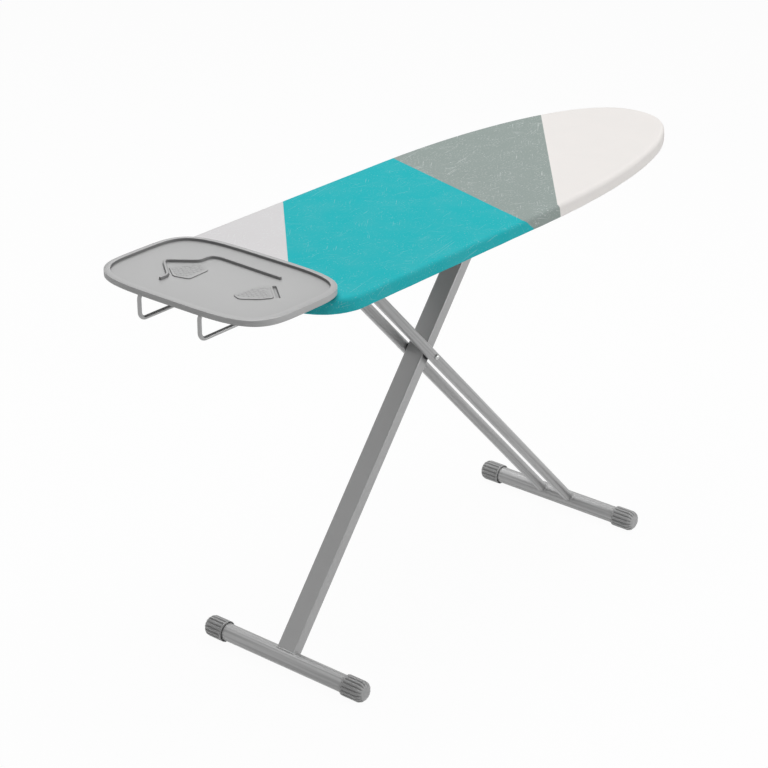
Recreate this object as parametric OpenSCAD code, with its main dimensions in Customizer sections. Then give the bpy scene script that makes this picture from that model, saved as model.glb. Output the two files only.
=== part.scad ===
// Folding ironing board on a scissor stand: a padded board on a steel deck,
// a flat leg crossed by two round legs, a height lock under the board, and
// an iron rest that slides on two wire arms. +Z is up, +X points to the nose,
// and the origin is on the floor under the middle of the overall length.

/* [Board] */
// Length of the covered board
board_len = 1200; // [1150:10:1250]
// Width of the covered board
board_w = 405; // [370:5:440]
// Height of the ironing surface above the floor
work_h = 804; // [780:2:830]
// Length of the tapering nose
nose_len = 600; // [500:10:650]
// Corner radius at the square tail
tail_r = 89; // [70:1:110]
// Radius of the soft top edge
edge_r = 8; // [5:0.5:8]
// Thickness of the cotton cover
cover_t = 1.2; // [1:0.1:1.6]
// Width of the hem turned under the rim
hem_w = 30; // [26:1:40]
// Thickness of the felt pad
pad_t = 8; // [7.5:0.5:10]

/* [Deck] */
// Thickness of the steel deck sheet
deck_t = 1.2; // [1:0.1:1.6]
// Diameter of a steam hole
vent_d = 16; // [10:1:22]
// Distance between steam holes in a row
vent_pitch = 50; // [44:1:60]
// Height of the rolled rim channel
rim_h = 15; // [13:0.5:18]
// Width of the rim channel's flanges
rim_flange = 16; // [12:0.5:18]
// Sheet thickness of the rim channel
rim_wall = 1; // [0.8:0.1:1.5]
// Width of a cross rib
rib_w = 26; // [20:1:34]
// Height of a cross rib
rib_h = 9; // [7:0.5:11]
// Distance of the nose rib from the nose tip
nose_rib_back = 260; // [200:5:300]

/* [Stand] */
// Distance from the tail edge to the rear foot bar
rear_inset = 100; // [90:1:120]
// Distance between the two foot bars
foot_spread = 856.6; // [840:0.2:870]
// Distance from the tail edge to the hinge axis
hinge_inset = 675.2; // [652:0.4:692]
// Distance from the tail edge to the cross pin at working height
slide_inset = 251; // [238:1:274]
// Drop from the ironing surface to the hinge axis
hinge_drop = 52; // [50:0.5:56]
// Angle left between the legs when folded
fold_gap = 4; // [3.8:0.1:5]
// Width of the flat leg
leg_w = 40.6; // [36:0.2:42]
// Thickness of the flat leg
leg_t = 23.6; // [20:0.2:25]
// Corner radius of the flat leg
leg_corner = 3; // [2:0.5:4]
// Wall of every leg tube
tube_wall = 1.5; // [1:0.1:2]
// Diameter of a round leg
tube_d = 21; // [19:0.5:22]
// Distance between the centre lines of the round legs
tube_gap = 67.2; // [66.8:0.2:70]
// Length of a leg past its top pin
leg_over = 14; // [12:0.5:16]

/* [Feet] */
// Overall length of a foot bar
foot_len = 388; // [360:2:420]
// Diameter of a foot bar
foot_d = 34; // [30:0.5:36]
// Height and width of a foot cap
cap_size = 40; // [38:0.5:44]
// Length of a foot cap
cap_len = 47; // [40:1:60]
// Thickness of a cap's closed end
cap_end = 8; // [5:0.5:12]

/* [Pins] */
// Diameter of the hinge pin, pivot bolt and cross pin
pin_d = 8; // [7:0.5:9]
// Diameter of a pin's head
head_d = 14; // [12:0.5:15]
// Thickness of a pin's head or nut
head_t = 4; // [3:0.5:5]
// Thickness of the washers beside the flat leg
washer_t = 2.4; // [2:0.1:2.6]

/* [Height lock] */
// Sheet thickness of the rails and the hinge bracket
rail_t = 2; // [1.5:0.1:2.5]
// Width of a rail's top flange
rail_flange = 17; // [15:0.5:18]
// Distance from the highest notch to the rails' front end
rail_front = 135; // [120:1:150]
// Distance from the highest notch to the lever's rivet
lever_reach = 115; // [100:1:125]
// Number of height notches
notch_count = 6; // [3:1:7]
// Distance between height notches
notch_pitch = 24; // [20:1:26]
// Depth of a height notch
notch_depth = 4; // [3:0.2:5]
// Thickness of the lever plate
lever_t = 2; // [1.5:0.1:2.4]
// Height of the lever plate above the notches
lever_h = 15; // [13:0.5:16]
// Diameter of the lever's rivet
rivet_d = 6; // [5:0.5:7]
// Diameter of the spring wire
spring_wire = 1.4; // [1:0.1:1.6]
// Number of turns of the spring
spring_turns = 4; // [3:1:5]

/* [Iron rest] */
// Length of the tray along the board
tray_l = 248; // [230:2:260]
// Width of the tray across the board
tray_w = 390; // [360:2:400]
// Height of the tray from skirt to lip
tray_h = 13.4; // [13:0.2:15]
// Sheet thickness of the tray
tray_t = 2; // [1.6:0.1:2.2]
// Width of the raised lip
lip_w = 11; // [9:0.5:14]
// Depth of the tray floor below the lip
tray_recess = 5; // [4:0.1:6]
// Height of the embossed pads
emboss_h = 0.8; // [0.5:0.1:1]
// Height of the bead that stops the iron
bead_h = 4.2; // [2:0.1:4.6]
// Width of that bead
bead_w = 5; // [4:0.5:6]
// Width of the groove beside the pads
groove_w = 7; // [5:0.5:8]
// Overlap of the tray over the board's tail
tray_overlap = 80; // [60:1:90]
// Gap between the cover and the tray skirt
tray_gap = 6.6; // [6:0.1:8]
// Diameter of a wire arm
wire_d = 7.4; // [6:0.1:8]
// Distance between the two wire arms
wire_gap = 137; // [132:1:144]
// Distance from the tray's outer edge to the wires
wire_inset = 4; // [4:0.5:10]
// Bend radius of a wire arm
wire_bend = 13; // [10:0.5:15]
// Drop from the ironing surface to the lower wires
wire_drop = 38.3; // [37:0.1:41]
// Travel of the iron rest
rest_travel = 140; // [100:5:140]

/* [Hidden] */

$fn = 48;
slice = 0.02;      // thickness of a layer that only shapes a hull
cut = 1;           // how far a cutting solid runs past the face it cuts
soft_gap = 0.3;    // space between the cover and what it wraps
fit_gap = 0.05;    // radial gap of a fixed fit
run_gap = 0.08;    // radial gap of a running fit
side_play = 0.5;   // space beside a piece that turns between two others
nose_power_x = 2.04;
nose_power_y = 2.3;
tray_power = 4.16;

// Heights of the board's layers, from the top down
pad_top = work_h - cover_t;
deck_top = pad_top - pad_t;
deck_low = deck_top - deck_t;
rim_low = deck_low - rim_h;
cover_low = rim_low - cover_t;
rim_out = cover_t + soft_gap;
rim_in = rim_out + rim_flange;

// Lengthwise places
total_len = board_len + tray_l - tray_overlap;
tray_out_x = -total_len / 2;
tail_x = tray_out_x + tray_l - tray_overlap;
nose_x = tail_x + board_len;
taper_x = nose_x - nose_len;
nose_rib_x = nose_x - nose_rib_back;

// Scissor stand: both legs start on a foot bar's axis and cross at the pivot
foot_z = cap_size / 2;
hinge_z = work_h - hinge_drop;
rear_x = tail_x + rear_inset;
front_x = rear_x + foot_spread;
hinge_x = tail_x + hinge_inset;
slide_x = tail_x + slide_inset;
leg_angle = atan2(hinge_z - foot_z, hinge_x - rear_x);
tube_angle = atan2(hinge_z - foot_z, front_x - slide_x);
pivot_h = foot_spread / (1 / tan(leg_angle) + 1 / tan(tube_angle));
pivot_x = rear_x + pivot_h / tan(leg_angle);
pivot_z = foot_z + pivot_h;
leg_low_len = pivot_h / sin(leg_angle);
leg_up_len = (hinge_z - pivot_z) / sin(leg_angle);
tube_low_len = pivot_h / sin(tube_angle);
tube_up_len = (hinge_z - pivot_z) / sin(tube_angle);
leg_len = leg_low_len + leg_up_len;
tube_len = tube_low_len + tube_up_len;

// The cross pin's place along the rails when the stand is folded
leg_rest_angle = fold_gap * tube_up_len / (leg_up_len + tube_up_len);
tube_rest_angle = fold_gap - leg_rest_angle;
folded_x = hinge_x - leg_up_len * cos(leg_rest_angle) - tube_up_len * cos(tube_rest_angle);

pin_r = pin_d / 2;
foot_r = foot_d / 2;
tube_r = tube_d / 2;
tube_y = tube_gap / 2;
tube_side = tube_y + tube_r;
bolt_y = tube_side + side_play;
bolt_head_r = pin_r + 1.2;
cap_fillet = 8;
cap_round = 1.03 * cap_size / 2;
washer_r = 11;
nut_wall = 1;
plug_len = 45;
plug_gap = 0.3;
plug_cap = 3;
tube_plug_len = 8;
tube_plug_cap = 2;

// Height lock
glide_t = 2;
rail_y = tube_side + glide_t + 2 * side_play;
pin_end_y = rail_y + rail_t + side_play + lever_t + side_play;
pin_play = 0.4;
pin_dip = 4;
rail_edge = 6;
slot_low = hinge_z - pin_r - pin_dip;
slot_high = hinge_z + pin_r + pin_play;
slot_tail_x = folded_x - pin_r - 3;
slot_front_x = slide_x + pin_r + 1;
rail_low = slot_low - rail_edge;
rail_step_z = slot_high + 2;
rail_tail_x = tail_x + rim_in;
rail_front_x = slide_x + rail_front;
flange_z = deck_low - rail_t;
lever_x = slide_x + lever_reach;
lever_low = slot_high;
lever_top = lever_low + notch_depth + lever_h;
rivet_z = lever_top - lever_h / 2;
lever_y = rail_y + rail_t + side_play;
rivet_r = rivet_d / 2;
arm_w = 22;
arm_t = 3;
arm_x = slide_x - notch_count * notch_pitch - arm_w;
arm_low = lever_top - arm_t;
lever_tail_x = arm_x - 8;
grip_y = 105;
grip_end_y = board_w / 2 - hem_w - 8;
grip_h = 12;
grip_wall = 4;
clip_t = 1.5;
spring_l = spring_wire * (1.05 * spring_turns + 1);
deck_rivet_r = 2.4;
rivet_head_r = 4.5;
rivet_head_t = 1.6;

// Hinge bracket
cheek_y = leg_w / 2 + side_play;
cheek_t = rail_t + side_play;
cheek_r = pin_r + 5;
bracket_l = 54;
bracket_w = 64;
rib_low = deck_low - rib_h;
bracket_low = rib_low - rail_t;

// Iron rest
tray_low = work_h + tray_gap;
tray_top = tray_low + tray_h;
floor_top = tray_top - tray_recess;
floor_low = floor_top - tray_t;
tray_x = tray_out_x + tray_l / 2;
wire_r = wire_d / 2;
wire_y = wire_gap / 2;
wire_out_x = tray_out_x + wire_inset;
wire_top_z = floor_low - wire_r;
wire_low_z = work_h - wire_drop;
wire_in_x = tray_x + 10;
guide_l = 12;
guide_w = 14;
guide_span = 82;
guide_tail_x = tail_x + 46;
guide_end_x = guide_tail_x + guide_span;
stop_l = 8;
stop_r = wire_r + 2.2;
wire_end_x = guide_end_x + soft_gap + stop_l + 4;
clip_w = 34;
clip_l = 14;
clip_drop = wire_d + 1.4;
screw_r = 2;
screw_off = clip_w / 2 - 5;
screw_head_r = 3.8;
screw_head_t = 2;
screw_bite = tray_t - 0.8;

// Half width of the board at a place along it
function half_w(x) = x <= taper_x ? board_w / 2
    : board_w / 2 * pow(1 - pow((x - taper_x) / nose_len, nose_power_x), 1 / nose_power_y);

// A point of the nose, moved inwards by d along the outline's normal
function nose_point(t, d) = let (
        u = pow(cos(t), 2 / nose_power_x),
        v = pow(sin(t), 2 / nose_power_y),
        gx = nose_power_x / nose_len * pow(u, nose_power_x - 1),
        gy = nose_power_y / (board_w / 2) * pow(v, nose_power_y - 1),
        g = norm([gx, gy]))
    [taper_x + nose_len * u - d * gx / g, board_w / 2 * v - d * gy / g];

function tail_point(a, d) =
    [tail_x + tail_r + (tail_r - d) * cos(a), board_w / 2 - tail_r + (tail_r - d) * sin(a)];

// Board outline moved inwards by d: one side, then its mirror image
function board_side(d) = concat([for (t = [0:3:90]) nose_point(t, d)],
    [for (a = [90:10:180]) tail_point(a, d)]);
function mirrored(side) = [for (i = [len(side) - 1:-1:0]) if (side[i].y > 0) [side[i].x, -side[i].y]];
function board_outline(d) = concat(board_side(d), mirrored(board_side(d)));

// Tray outline: a superellipse moved inwards by d along its normal
function tray_point(t, d) = let (
        u = pow(abs(cos(t)), 2 / tray_power),
        v = pow(abs(sin(t)), 2 / tray_power),
        gx = pow(u, tray_power - 1) / tray_l,
        gy = pow(v, tray_power - 1) / tray_w,
        g = norm([gx, gy]))
    [sign(cos(t)) * (tray_l / 2 * u - d * gx / g), sign(sin(t)) * (tray_w / 2 * v - d * gy / g)];
function tray_outline(d) = [for (t = [2.25:4.5:359]) tray_point(t, d)];

// Prism of the board's outline, d inside it
module board_prism(d, low, high) {
    translate([0, 0, low]) linear_extrude(high - low) polygon(board_outline(d));
}

// The same prism with a rounded top edge
module board_slab(d, low, high, r) {
    hull() {
        board_prism(d, low, high - r);
        for (a = [30:30:90]) {
            z = high - r + r * sin(a);
            board_prism(d + r * (1 - cos(a)), z - slice, z);
        }
    }
}

module tray_prism(d, low, high) {
    translate([tray_x, 0, low]) linear_extrude(high - low) polygon(tray_outline(d));
}

// Cylinder along Y at [x, z], from y0 to y1
module rod_y(x, z, y0, y1, r) {
    translate([x, y0, z]) rotate([-90, 0, 0]) cylinder(h = y1 - y0, r = r);
}

// Cylinder along X at [y, z], from x0 to x1
module rod_x(y, z, x0, x1, r) {
    translate([x0, y, z]) rotate([0, 90, 0]) cylinder(h = x1 - x0, r = r);
}

module block(x0, x1, y0, y1, z0, z1) {
    translate([x0, y0, z0]) cube([x1 - x0, y1 - y0, z1 - z0]);
}

// Puts a leg that is drawn along +X at its foot bar, at its slope
module at_rear_foot() {
    translate([rear_x, 0, foot_z]) rotate([0, -leg_angle, 0]) children();
}
module at_front_foot() {
    translate([front_x, 0, foot_z]) rotate([0, tube_angle - 180, 0]) children();
}

module on_both_sides() {
    children();
    mirror([0, 1, 0]) children();
}

// Bar along X with rounded long edges
module rounded_bar(x0, x1, w, t, r) {
    block(x0, x1, -w / 2, w / 2, r - t / 2, t / 2 - r);
    block(x0, x1, r - w / 2, w / 2 - r, -t / 2, t / 2);
    for (y = [r - w / 2, w / 2 - r], z = [r - t / 2, t / 2 - r]) rod_x(y, z, x0, x1, r);
}

// Board

module cover() {
    color("mediumturquoise") difference() {
        board_slab(0, cover_low, work_h, edge_r);
        board_slab(cover_t, rim_low, pad_top, edge_r - cover_t);
        board_prism(hem_w, cover_low - cut, rim_low + cut);
    }
}

module pad() {
    color("linen") board_slab(rim_out, deck_top, pad_top, edge_r - cover_t);
}

function is_vent(x, y) = abs(y) < half_w(x + vent_d) - rim_in - vent_d
    && x > tail_x + rim_in + vent_d
    && abs(x - hinge_x) > rib_w / 2 + vent_d
    && abs(x - nose_rib_x) > rib_w / 2 + vent_d
    && (x > rail_front_x + vent_d || abs(y) < rail_y - vent_d || abs(y) > wire_y + guide_w / 2 + vent_d);

module vents() {
    row_step = vent_pitch * sin(60);
    rows = floor((board_len - vent_pitch) / row_step);
    columns = ceil(board_w / vent_pitch / 2);
    for (i = [1:rows], j = [-columns:columns]) {
        x = tail_x + i * row_step;
        y = (j + (i % 2) / 2) * vent_pitch;
        if (is_vent(x, y)) translate([x, y, deck_low - cut]) cylinder(h = deck_t + 2 * cut, d = vent_d);
    }
}

// Places of the rivets that hold the rails to the deck
module at_rail_rivets() {
    for (i = [0:3], side = [-1, 1]) {
        start = tail_x + hem_w + rivet_head_r + 8;
        x = start + (rail_front_x - 8 - start) * i / 3;
        translate([x, side * (rail_y + rail_t + rail_flange / 2 - 1), 0]) children();
    }
}

module deck_panel() {
    color("gainsboro") difference() {
        board_prism(rim_out, deck_low, deck_top);
        vents();
        at_rail_rivets() translate([0, 0, deck_low - cut])
            cylinder(h = deck_t + 2 * cut, r = deck_rivet_r + fit_gap);
    }
}

module rim() {
    color("silver") difference() {
        board_prism(rim_out, rim_low, deck_low);
        board_prism(rim_out + rim_wall, rim_low + rim_wall, deck_low - rim_wall);
        board_prism(rim_in, rim_low - cut, deck_low + cut);
    }
}

// Folded channel across the board, open at the bottom
module cross_rib(x) {
    half = half_w(x + rib_w / 2) - rim_in - side_play;
    difference() {
        block(x - rib_w / 2, x + rib_w / 2, -half, half, rib_low, deck_low);
        block(x - rib_w / 2 + rail_t, x + rib_w / 2 - rail_t, -half - cut, half + cut,
            rib_low - cut, deck_low - rail_t);
    }
}

module hinge_rib() {
    color("silver") cross_rib(hinge_x);
}

module nose_rib() {
    color("silver") cross_rib(nose_rib_x);
}

module hinge_bracket() {
    color("silver") difference() {
        union() {
            block(hinge_x - bracket_l / 2, hinge_x + bracket_l / 2, -bracket_w / 2, bracket_w / 2,
                bracket_low, rib_low);
            on_both_sides() {
                block(hinge_x - cheek_r, hinge_x + cheek_r, cheek_y, cheek_y + cheek_t, hinge_z, bracket_low);
                rod_y(hinge_x, hinge_z, cheek_y, cheek_y + cheek_t, cheek_r);
            }
        }
        rod_y(hinge_x, hinge_z, -bracket_w, bracket_w, pin_r + fit_gap);
    }
}

module hinge_pin() {
    outer = cheek_y + cheek_t;
    color("whitesmoke") {
        rod_y(hinge_x, hinge_z, -outer, outer + head_t - nut_wall, pin_r);
        rod_y(hinge_x, hinge_z, -outer - head_t, -outer, head_d / 2);
    }
}

// Flat ring around a pin, from y0 to y1
module ring_y(x, z, y0, y1, r, bore_r) {
    difference() {
        rod_y(x, z, y0, y1, r);
        rod_y(x, z, y0 - cut, y1 + cut, bore_r);
    }
}

// Closed nut on a pin's end
module cap_nut(x, z, y0) {
    difference() {
        rod_y(x, z, y0, y0 + head_t, head_d / 2);
        rod_y(x, z, y0 - cut, y0 + head_t - nut_wall, pin_r + fit_gap);
    }
}

module hinge_nut() {
    color("whitesmoke") cap_nut(hinge_x, hinge_z, cheek_y + cheek_t);
}

// Rail on the +Y side: a slotted cheek, shallower past the slot, with a flange
// that is riveted to the deck
module rail() {
    difference() {
        union() {
            block(rail_tail_x, slot_front_x + rail_edge, rail_y, rail_y + rail_t, rail_low, deck_low);
            block(rail_tail_x, rail_front_x, rail_y, rail_y + rail_t, rail_step_z, deck_low);
            block(rail_tail_x, rail_front_x, rail_y, rail_y + rail_t + rail_flange, flange_z, deck_low);
        }
        block(slot_tail_x, slot_front_x, rail_y - cut, rail_y + rail_t + cut, slot_low, slot_high);
        block(rail_tail_x - cut, tail_x + hem_w + side_play, rail_y - cut, rail_y + rail_t + rail_flange + cut,
            cover_low - side_play, deck_low + cut);
    }
}

module rail_rivet_holes() {
    at_rail_rivets() translate([0, 0, flange_z - cut])
        cylinder(h = rail_t + 2 * cut, r = deck_rivet_r + fit_gap);
}

module rail_left() {
    color("silver") difference() {
        rail();
        rail_rivet_holes();
    }
}

module rail_right() {
    color("silver") difference() {
        mirror([0, 1, 0]) rail();
        rail_rivet_holes();
        rod_y(lever_x, rivet_z, -rail_y - rail_t - cut, -rail_y + cut, rivet_r + fit_gap);
    }
}

module rail_rivets() {
    color("whitesmoke") at_rail_rivets() {
        translate([0, 0, flange_z]) cylinder(h = deck_top - flange_z, r = deck_rivet_r);
        translate([0, 0, flange_z - rivet_head_t]) cylinder(h = rivet_head_t, r = rivet_head_r);
    }
}

// Guide on the +Y side: two bored blocks on a strip under the deck
module rest_guide() {
    difference() {
        union() {
            block(guide_tail_x, guide_end_x, wire_y - guide_w / 2, wire_y + guide_w / 2, flange_z, deck_low);
            for (x = [guide_tail_x, guide_end_x - guide_l])
                block(x, x + guide_l, wire_y - guide_w / 2, wire_y + guide_w / 2,
                    wire_low_z - guide_w / 2, flange_z);
        }
        rod_x(wire_y, wire_low_z, guide_tail_x - cut, guide_end_x + cut, wire_r + run_gap);
        block(guide_tail_x - cut, guide_end_x + cut, 0, rail_y + rail_t + rail_flange + side_play,
            flange_z - rail_t, deck_low + cut);
    }
}

module rest_guide_left() {
    color("dimgray") rest_guide();
}

module rest_guide_right() {
    color("dimgray") mirror([0, 1, 0]) rest_guide();
}

// Height lock

module lever_rivet() {
    inner = rail_y - 1.5;
    outer = lever_y + lever_t + side_play + spring_l + side_play;
    color("whitesmoke") {
        rod_y(lever_x, rivet_z, -outer - 2, -inner, rivet_r);
        rod_y(lever_x, rivet_z, -outer - 2, -outer, rivet_r + 2.5);
        rod_y(lever_x, rivet_z, -rail_y, -inner, rivet_r + 2);
    }
}

// Notched plate outside the right rail, with an arm that reaches to the side
module release_lever() {
    color("silver") difference() {
        union() {
            block(lever_tail_x, lever_x, -lever_y - lever_t, -lever_y, lever_low, lever_top);
            rod_y(lever_x, rivet_z, -lever_y - lever_t, -lever_y, lever_h / 2);
            block(arm_x, arm_x + arm_w, -grip_end_y + grip_wall, -lever_y, arm_low, lever_top);
        }
        for (i = [0:notch_count - 1]) {
            x = slide_x - i * notch_pitch;
            rod_y(x, lever_low, -lever_y - lever_t - cut, -lever_y + cut, notch_depth);
        }
        block(slide_x + notch_pitch / 2, lever_x + lever_h, -lever_y - lever_t - cut, -lever_y + cut,
            lever_low - cut, lever_low + notch_depth);
        rod_y(lever_x, rivet_z, -lever_y - lever_t - cut, -lever_y + cut, rivet_r + run_gap);
    }
}

module lever_grip() {
    middle = arm_low + arm_t / 2;
    color("dimgray") difference() {
        translate([arm_x + arm_w / 2, 0, middle]) rotate([0, 0, -90])
            rounded_bar(grip_y, grip_end_y, arm_w + 2 * grip_wall, grip_h, grip_h / 3);
        block(arm_x - fit_gap, arm_x + arm_w + fit_gap, grip_wall - fit_gap - grip_end_y, -grip_y + cut,
            arm_low - fit_gap, lever_top + fit_gap);
    }
}

// Torsion spring on the rivet: a helix swept by a round section of 8 sides
module lever_spring() {
    coil_r = rivet_r + spring_wire;
    steps = 12 * spring_turns;
    y_start = -lever_y - lever_t - side_play - spring_wire / 2;
    color("whitesmoke") {
        polyhedron(
            points = [for (i = [0:steps], k = [0:7]) let (
                    a = 90 + 360 * spring_turns * i / steps,
                    r = coil_r + spring_wire / 2 * cos(45 * k),
                    y = y_start - 1.05 * spring_wire * spring_turns * i / steps + spring_wire / 2 * sin(45 * k))
                [lever_x + r * cos(a), y, rivet_z + r * sin(a)]],
            faces = concat(
                [[for (k = [0:7]) k]],
                [for (i = [0:steps - 1], k = [0:7])
                    [8 * i + k, 8 * (i + 1) + k, 8 * (i + 1) + (k + 1) % 8, 8 * i + (k + 1) % 8]],
                [[for (k = [7:-1:0]) 8 * steps + k]]));
        rod_x(y_start, rivet_z + coil_r, lever_x - 26, lever_x, spring_wire / 2);
    }
}

// Iron rest

// Emboss outlines on the tray floor, from the tray's centre
left_pad = [[-20, 102], [-44, 67], [-35, 35], [13, 37], [29, 71]];
right_pad = [[-40, -68], [-47, -87], [-27, -114], [-10, -131], [34, -89], [9, -73]];
long_bead = [[62, -80], [66, 58], [61, 73], [52, 77], [33, 77], [-2, 123], [-10, 119], [-47, 73], [-66, 72]];
groove = [[32, -94], [1, -131]];
groove_deep = 1.2;
emboss_root = tray_t - screw_bite - 0.2;

// Sideways step from point i of a row, half the strip's width, mitred at a bend
function side_step(points, width, i) = let (
        last = len(points) - 1,
        before = points[i] - points[max(i - 1, 0)],
        after = points[min(i + 1, last)] - points[i],
        from = i > 0 ? before / norm(before) : after / norm(after),
        to = i < last ? after / norm(after) : from,
        mid = (from + to) / norm(from + to))
    width / 2 / (mid * to) * [-mid.y, mid.x];

// Outline of a strip along a row of points
function strip(points, width) = let (last = len(points) - 1)
    concat([for (i = [0:last]) points[i] + side_step(points, width, i)],
        [for (i = [last:-1:0]) points[i] - side_step(points, width, i)]);

// A shape raised from the tray floor and rooted in it
module embossed(outline, rise) {
    translate([tray_x, 0, floor_top - emboss_root]) linear_extrude(emboss_root + rise) polygon(outline);
}

module at_clips() {
    for (x = [wire_out_x + 3 * wire_bend, wire_in_x - clip_l], side = [-1, 1])
        translate([x, side * wire_y, 0]) children();
}

module at_screws() {
    at_clips() for (dy = [-screw_off, screw_off]) translate([clip_l / 2, dy, 0]) children();
}

// Pressed tray: a skirt and a lip round a sunken floor, hollow underneath
module rest_tray() {
    color("silver") {
        difference() {
            tray_prism(0, tray_low, tray_top);
            difference() {
                tray_prism(tray_t, tray_low - cut, tray_top - tray_t);
                tray_prism(lip_w - tray_t, floor_low, tray_top);
            }
            tray_prism(lip_w, floor_top, tray_top + cut);
            at_screws() translate([0, 0, floor_low - cut])
                cylinder(h = screw_bite + cut, r = screw_r + fit_gap);
            translate([tray_x, 0, floor_top - groove_deep])
                linear_extrude(groove_deep + cut) polygon(strip(groove, groove_w));
        }
        for (outline = [left_pad, right_pad]) embossed(outline, emboss_h);
        embossed(strip(long_bead, bead_w), bead_h);
    }
}

// Quarter bend of a wire arm about [x, z], from angle a
module wire_elbow(x, z, a) {
    translate([x, wire_y, z]) rotate([90, 0, 0]) rotate([0, 0, a])
        rotate_extrude(angle = 90) translate([wire_bend, 0]) circle(r = wire_r);
}

// Wire arm on the +Y side: under the tray, down past the tail and under the board
module wire_arm() {
    bend_x = wire_out_x + wire_bend;
    rod_x(wire_y, wire_top_z, bend_x, wire_in_x, wire_r);
    wire_elbow(bend_x, wire_top_z - wire_bend, 90);
    translate([wire_out_x, wire_y, wire_low_z + wire_bend])
        cylinder(h = wire_top_z - wire_low_z - 2 * wire_bend, r = wire_r);
    wire_elbow(bend_x, wire_low_z + wire_bend, 180);
    rod_x(wire_y, wire_low_z, bend_x, wire_end_x, wire_r);
}

module rest_wire_left() {
    color("gray") wire_arm();
}

module rest_wire_right() {
    color("gray") mirror([0, 1, 0]) wire_arm();
}

module rest_clips() {
    color("dimgray") difference() {
        at_clips() block(0, clip_l, -clip_w / 2, clip_w / 2, floor_low - clip_drop, floor_low);
        on_both_sides() rod_x(wire_y, wire_top_z, tray_out_x, nose_x, wire_r + fit_gap);
        at_screws() translate([0, 0, floor_low - clip_drop - cut])
            cylinder(h = clip_drop + 2 * cut, r = screw_r + fit_gap);
    }
}

module rest_screws() {
    low = floor_low - clip_drop;
    color("whitesmoke") at_screws() {
        translate([0, 0, low]) cylinder(h = clip_drop + screw_bite, r = screw_r);
        translate([0, 0, low - screw_head_t]) cylinder(h = screw_head_t, r = screw_head_r);
    }
}

// Collars that stop the wires from pulling out of their guides
module wire_stops() {
    start = guide_end_x + soft_gap;
    color("dimgray") on_both_sides() difference() {
        rod_x(wire_y, wire_low_z, start, start + stop_l, stop_r);
        rod_x(wire_y, wire_low_z, start - cut, start + stop_l + cut, wire_r + fit_gap);
    }
}

// Flat leg

module main_leg() {
    top = leg_len + leg_over - plug_cap;
    inner = leg_corner - tube_wall;
    color("darkgray") at_rear_foot() difference() {
        rounded_bar(0, top, leg_w, leg_t, leg_corner);
        rounded_bar(-cut, top + cut, leg_w - 2 * tube_wall, leg_t - 2 * tube_wall, inner);
        rod_y(0, 0, -leg_w, leg_w, foot_r + fit_gap);
        rod_y(leg_len, 0, -leg_w, leg_w, pin_r + run_gap);
        rod_y(leg_low_len, 0, -leg_w, leg_w, pin_r + fit_gap);
    }
}

module leg_plug() {
    top = leg_len + leg_over;
    color("dimgray") at_rear_foot() difference() {
        union() {
            rounded_bar(top - plug_cap, top, leg_w, leg_t, leg_corner);
            rounded_bar(top - plug_len, top - plug_cap, leg_w - 2 * (tube_wall + plug_gap),
                leg_t - 2 * (tube_wall + plug_gap), leg_corner - tube_wall);
        }
        rod_y(leg_len, 0, -leg_w, leg_w, pin_r + run_gap);
    }
}

module foot_bar(x) {
    half = foot_len / 2 - cap_end - side_play;
    difference() {
        rod_y(x, foot_z, -half, half, foot_r);
        rod_y(x, foot_z, -half - cut, half + cut, foot_r - tube_wall);
    }
}

// Cap on the +Y end of a foot bar: a rounded square cup
module foot_cap(x) {
    open_y = foot_len / 2 - cap_len;
    difference() {
        intersection() {
            translate([x, open_y, foot_z]) rotate([-90, 0, 0]) rotate_extrude() union() {
                square([cap_round, cap_len - cap_fillet]);
                square([cap_round - cap_fillet, cap_len]);
                translate([cap_round - cap_fillet, cap_len - cap_fillet]) circle(r = cap_fillet);
            }
            block(x - cap_size / 2, x + cap_size / 2, open_y, open_y + cap_len, 0, cap_size);
        }
        rod_y(x, foot_z, open_y - cut, foot_len / 2 - cap_end, foot_r + fit_gap);
    }
}

module rear_foot_tube() {
    color("silver") foot_bar(rear_x);
}

module rear_cap_left() {
    color("dimgray") foot_cap(rear_x);
}

module rear_cap_right() {
    color("dimgray") mirror([0, 1, 0]) foot_cap(rear_x);
}

module pivot_bolt() {
    color("whitesmoke") {
        rod_y(pivot_x, pivot_z, -bolt_y, bolt_y + head_t - nut_wall, pin_r);
        rod_y(pivot_x, pivot_z, -bolt_y - head_t, -bolt_y, bolt_head_r);
    }
}

module pivot_nut() {
    color("whitesmoke") cap_nut(pivot_x, pivot_z, bolt_y);
}

module pivot_washers() {
    start = leg_w / 2;
    color("dimgray") on_both_sides()
        ring_y(pivot_x, pivot_z, start, start + washer_t, washer_r, pin_r + fit_gap);
}

// Round legs

module round_leg() {
    top = tube_len + leg_over - tube_plug_cap;
    translate([0, tube_y, 0]) difference() {
        rod_x(0, 0, 0, top, tube_r);
        rod_x(0, 0, -cut, top + cut, tube_r - tube_wall);
        rod_y(0, 0, -tube_d, tube_d, foot_r + fit_gap);
        rod_y(tube_len, 0, -tube_d, tube_d, pin_r + fit_gap);
        rod_y(tube_low_len, 0, -tube_d, tube_d, pin_r + run_gap);
    }
}

module leg_tube_left() {
    color("darkgray") at_front_foot() round_leg();
}

module leg_tube_right() {
    color("darkgray") at_front_foot() mirror([0, 1, 0]) round_leg();
}

module tube_plugs() {
    top = tube_len + leg_over;
    color("dimgray") at_front_foot() on_both_sides() {
        rod_x(tube_y, 0, top - tube_plug_cap, top, tube_r);
        rod_x(tube_y, 0, top - tube_plug_len, top - tube_plug_cap, tube_r - tube_wall - fit_gap);
    }
}

module front_foot_tube() {
    color("silver") foot_bar(front_x);
}

module front_cap_left() {
    color("dimgray") foot_cap(front_x);
}

module front_cap_right() {
    color("dimgray") mirror([0, 1, 0]) foot_cap(front_x);
}

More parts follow.
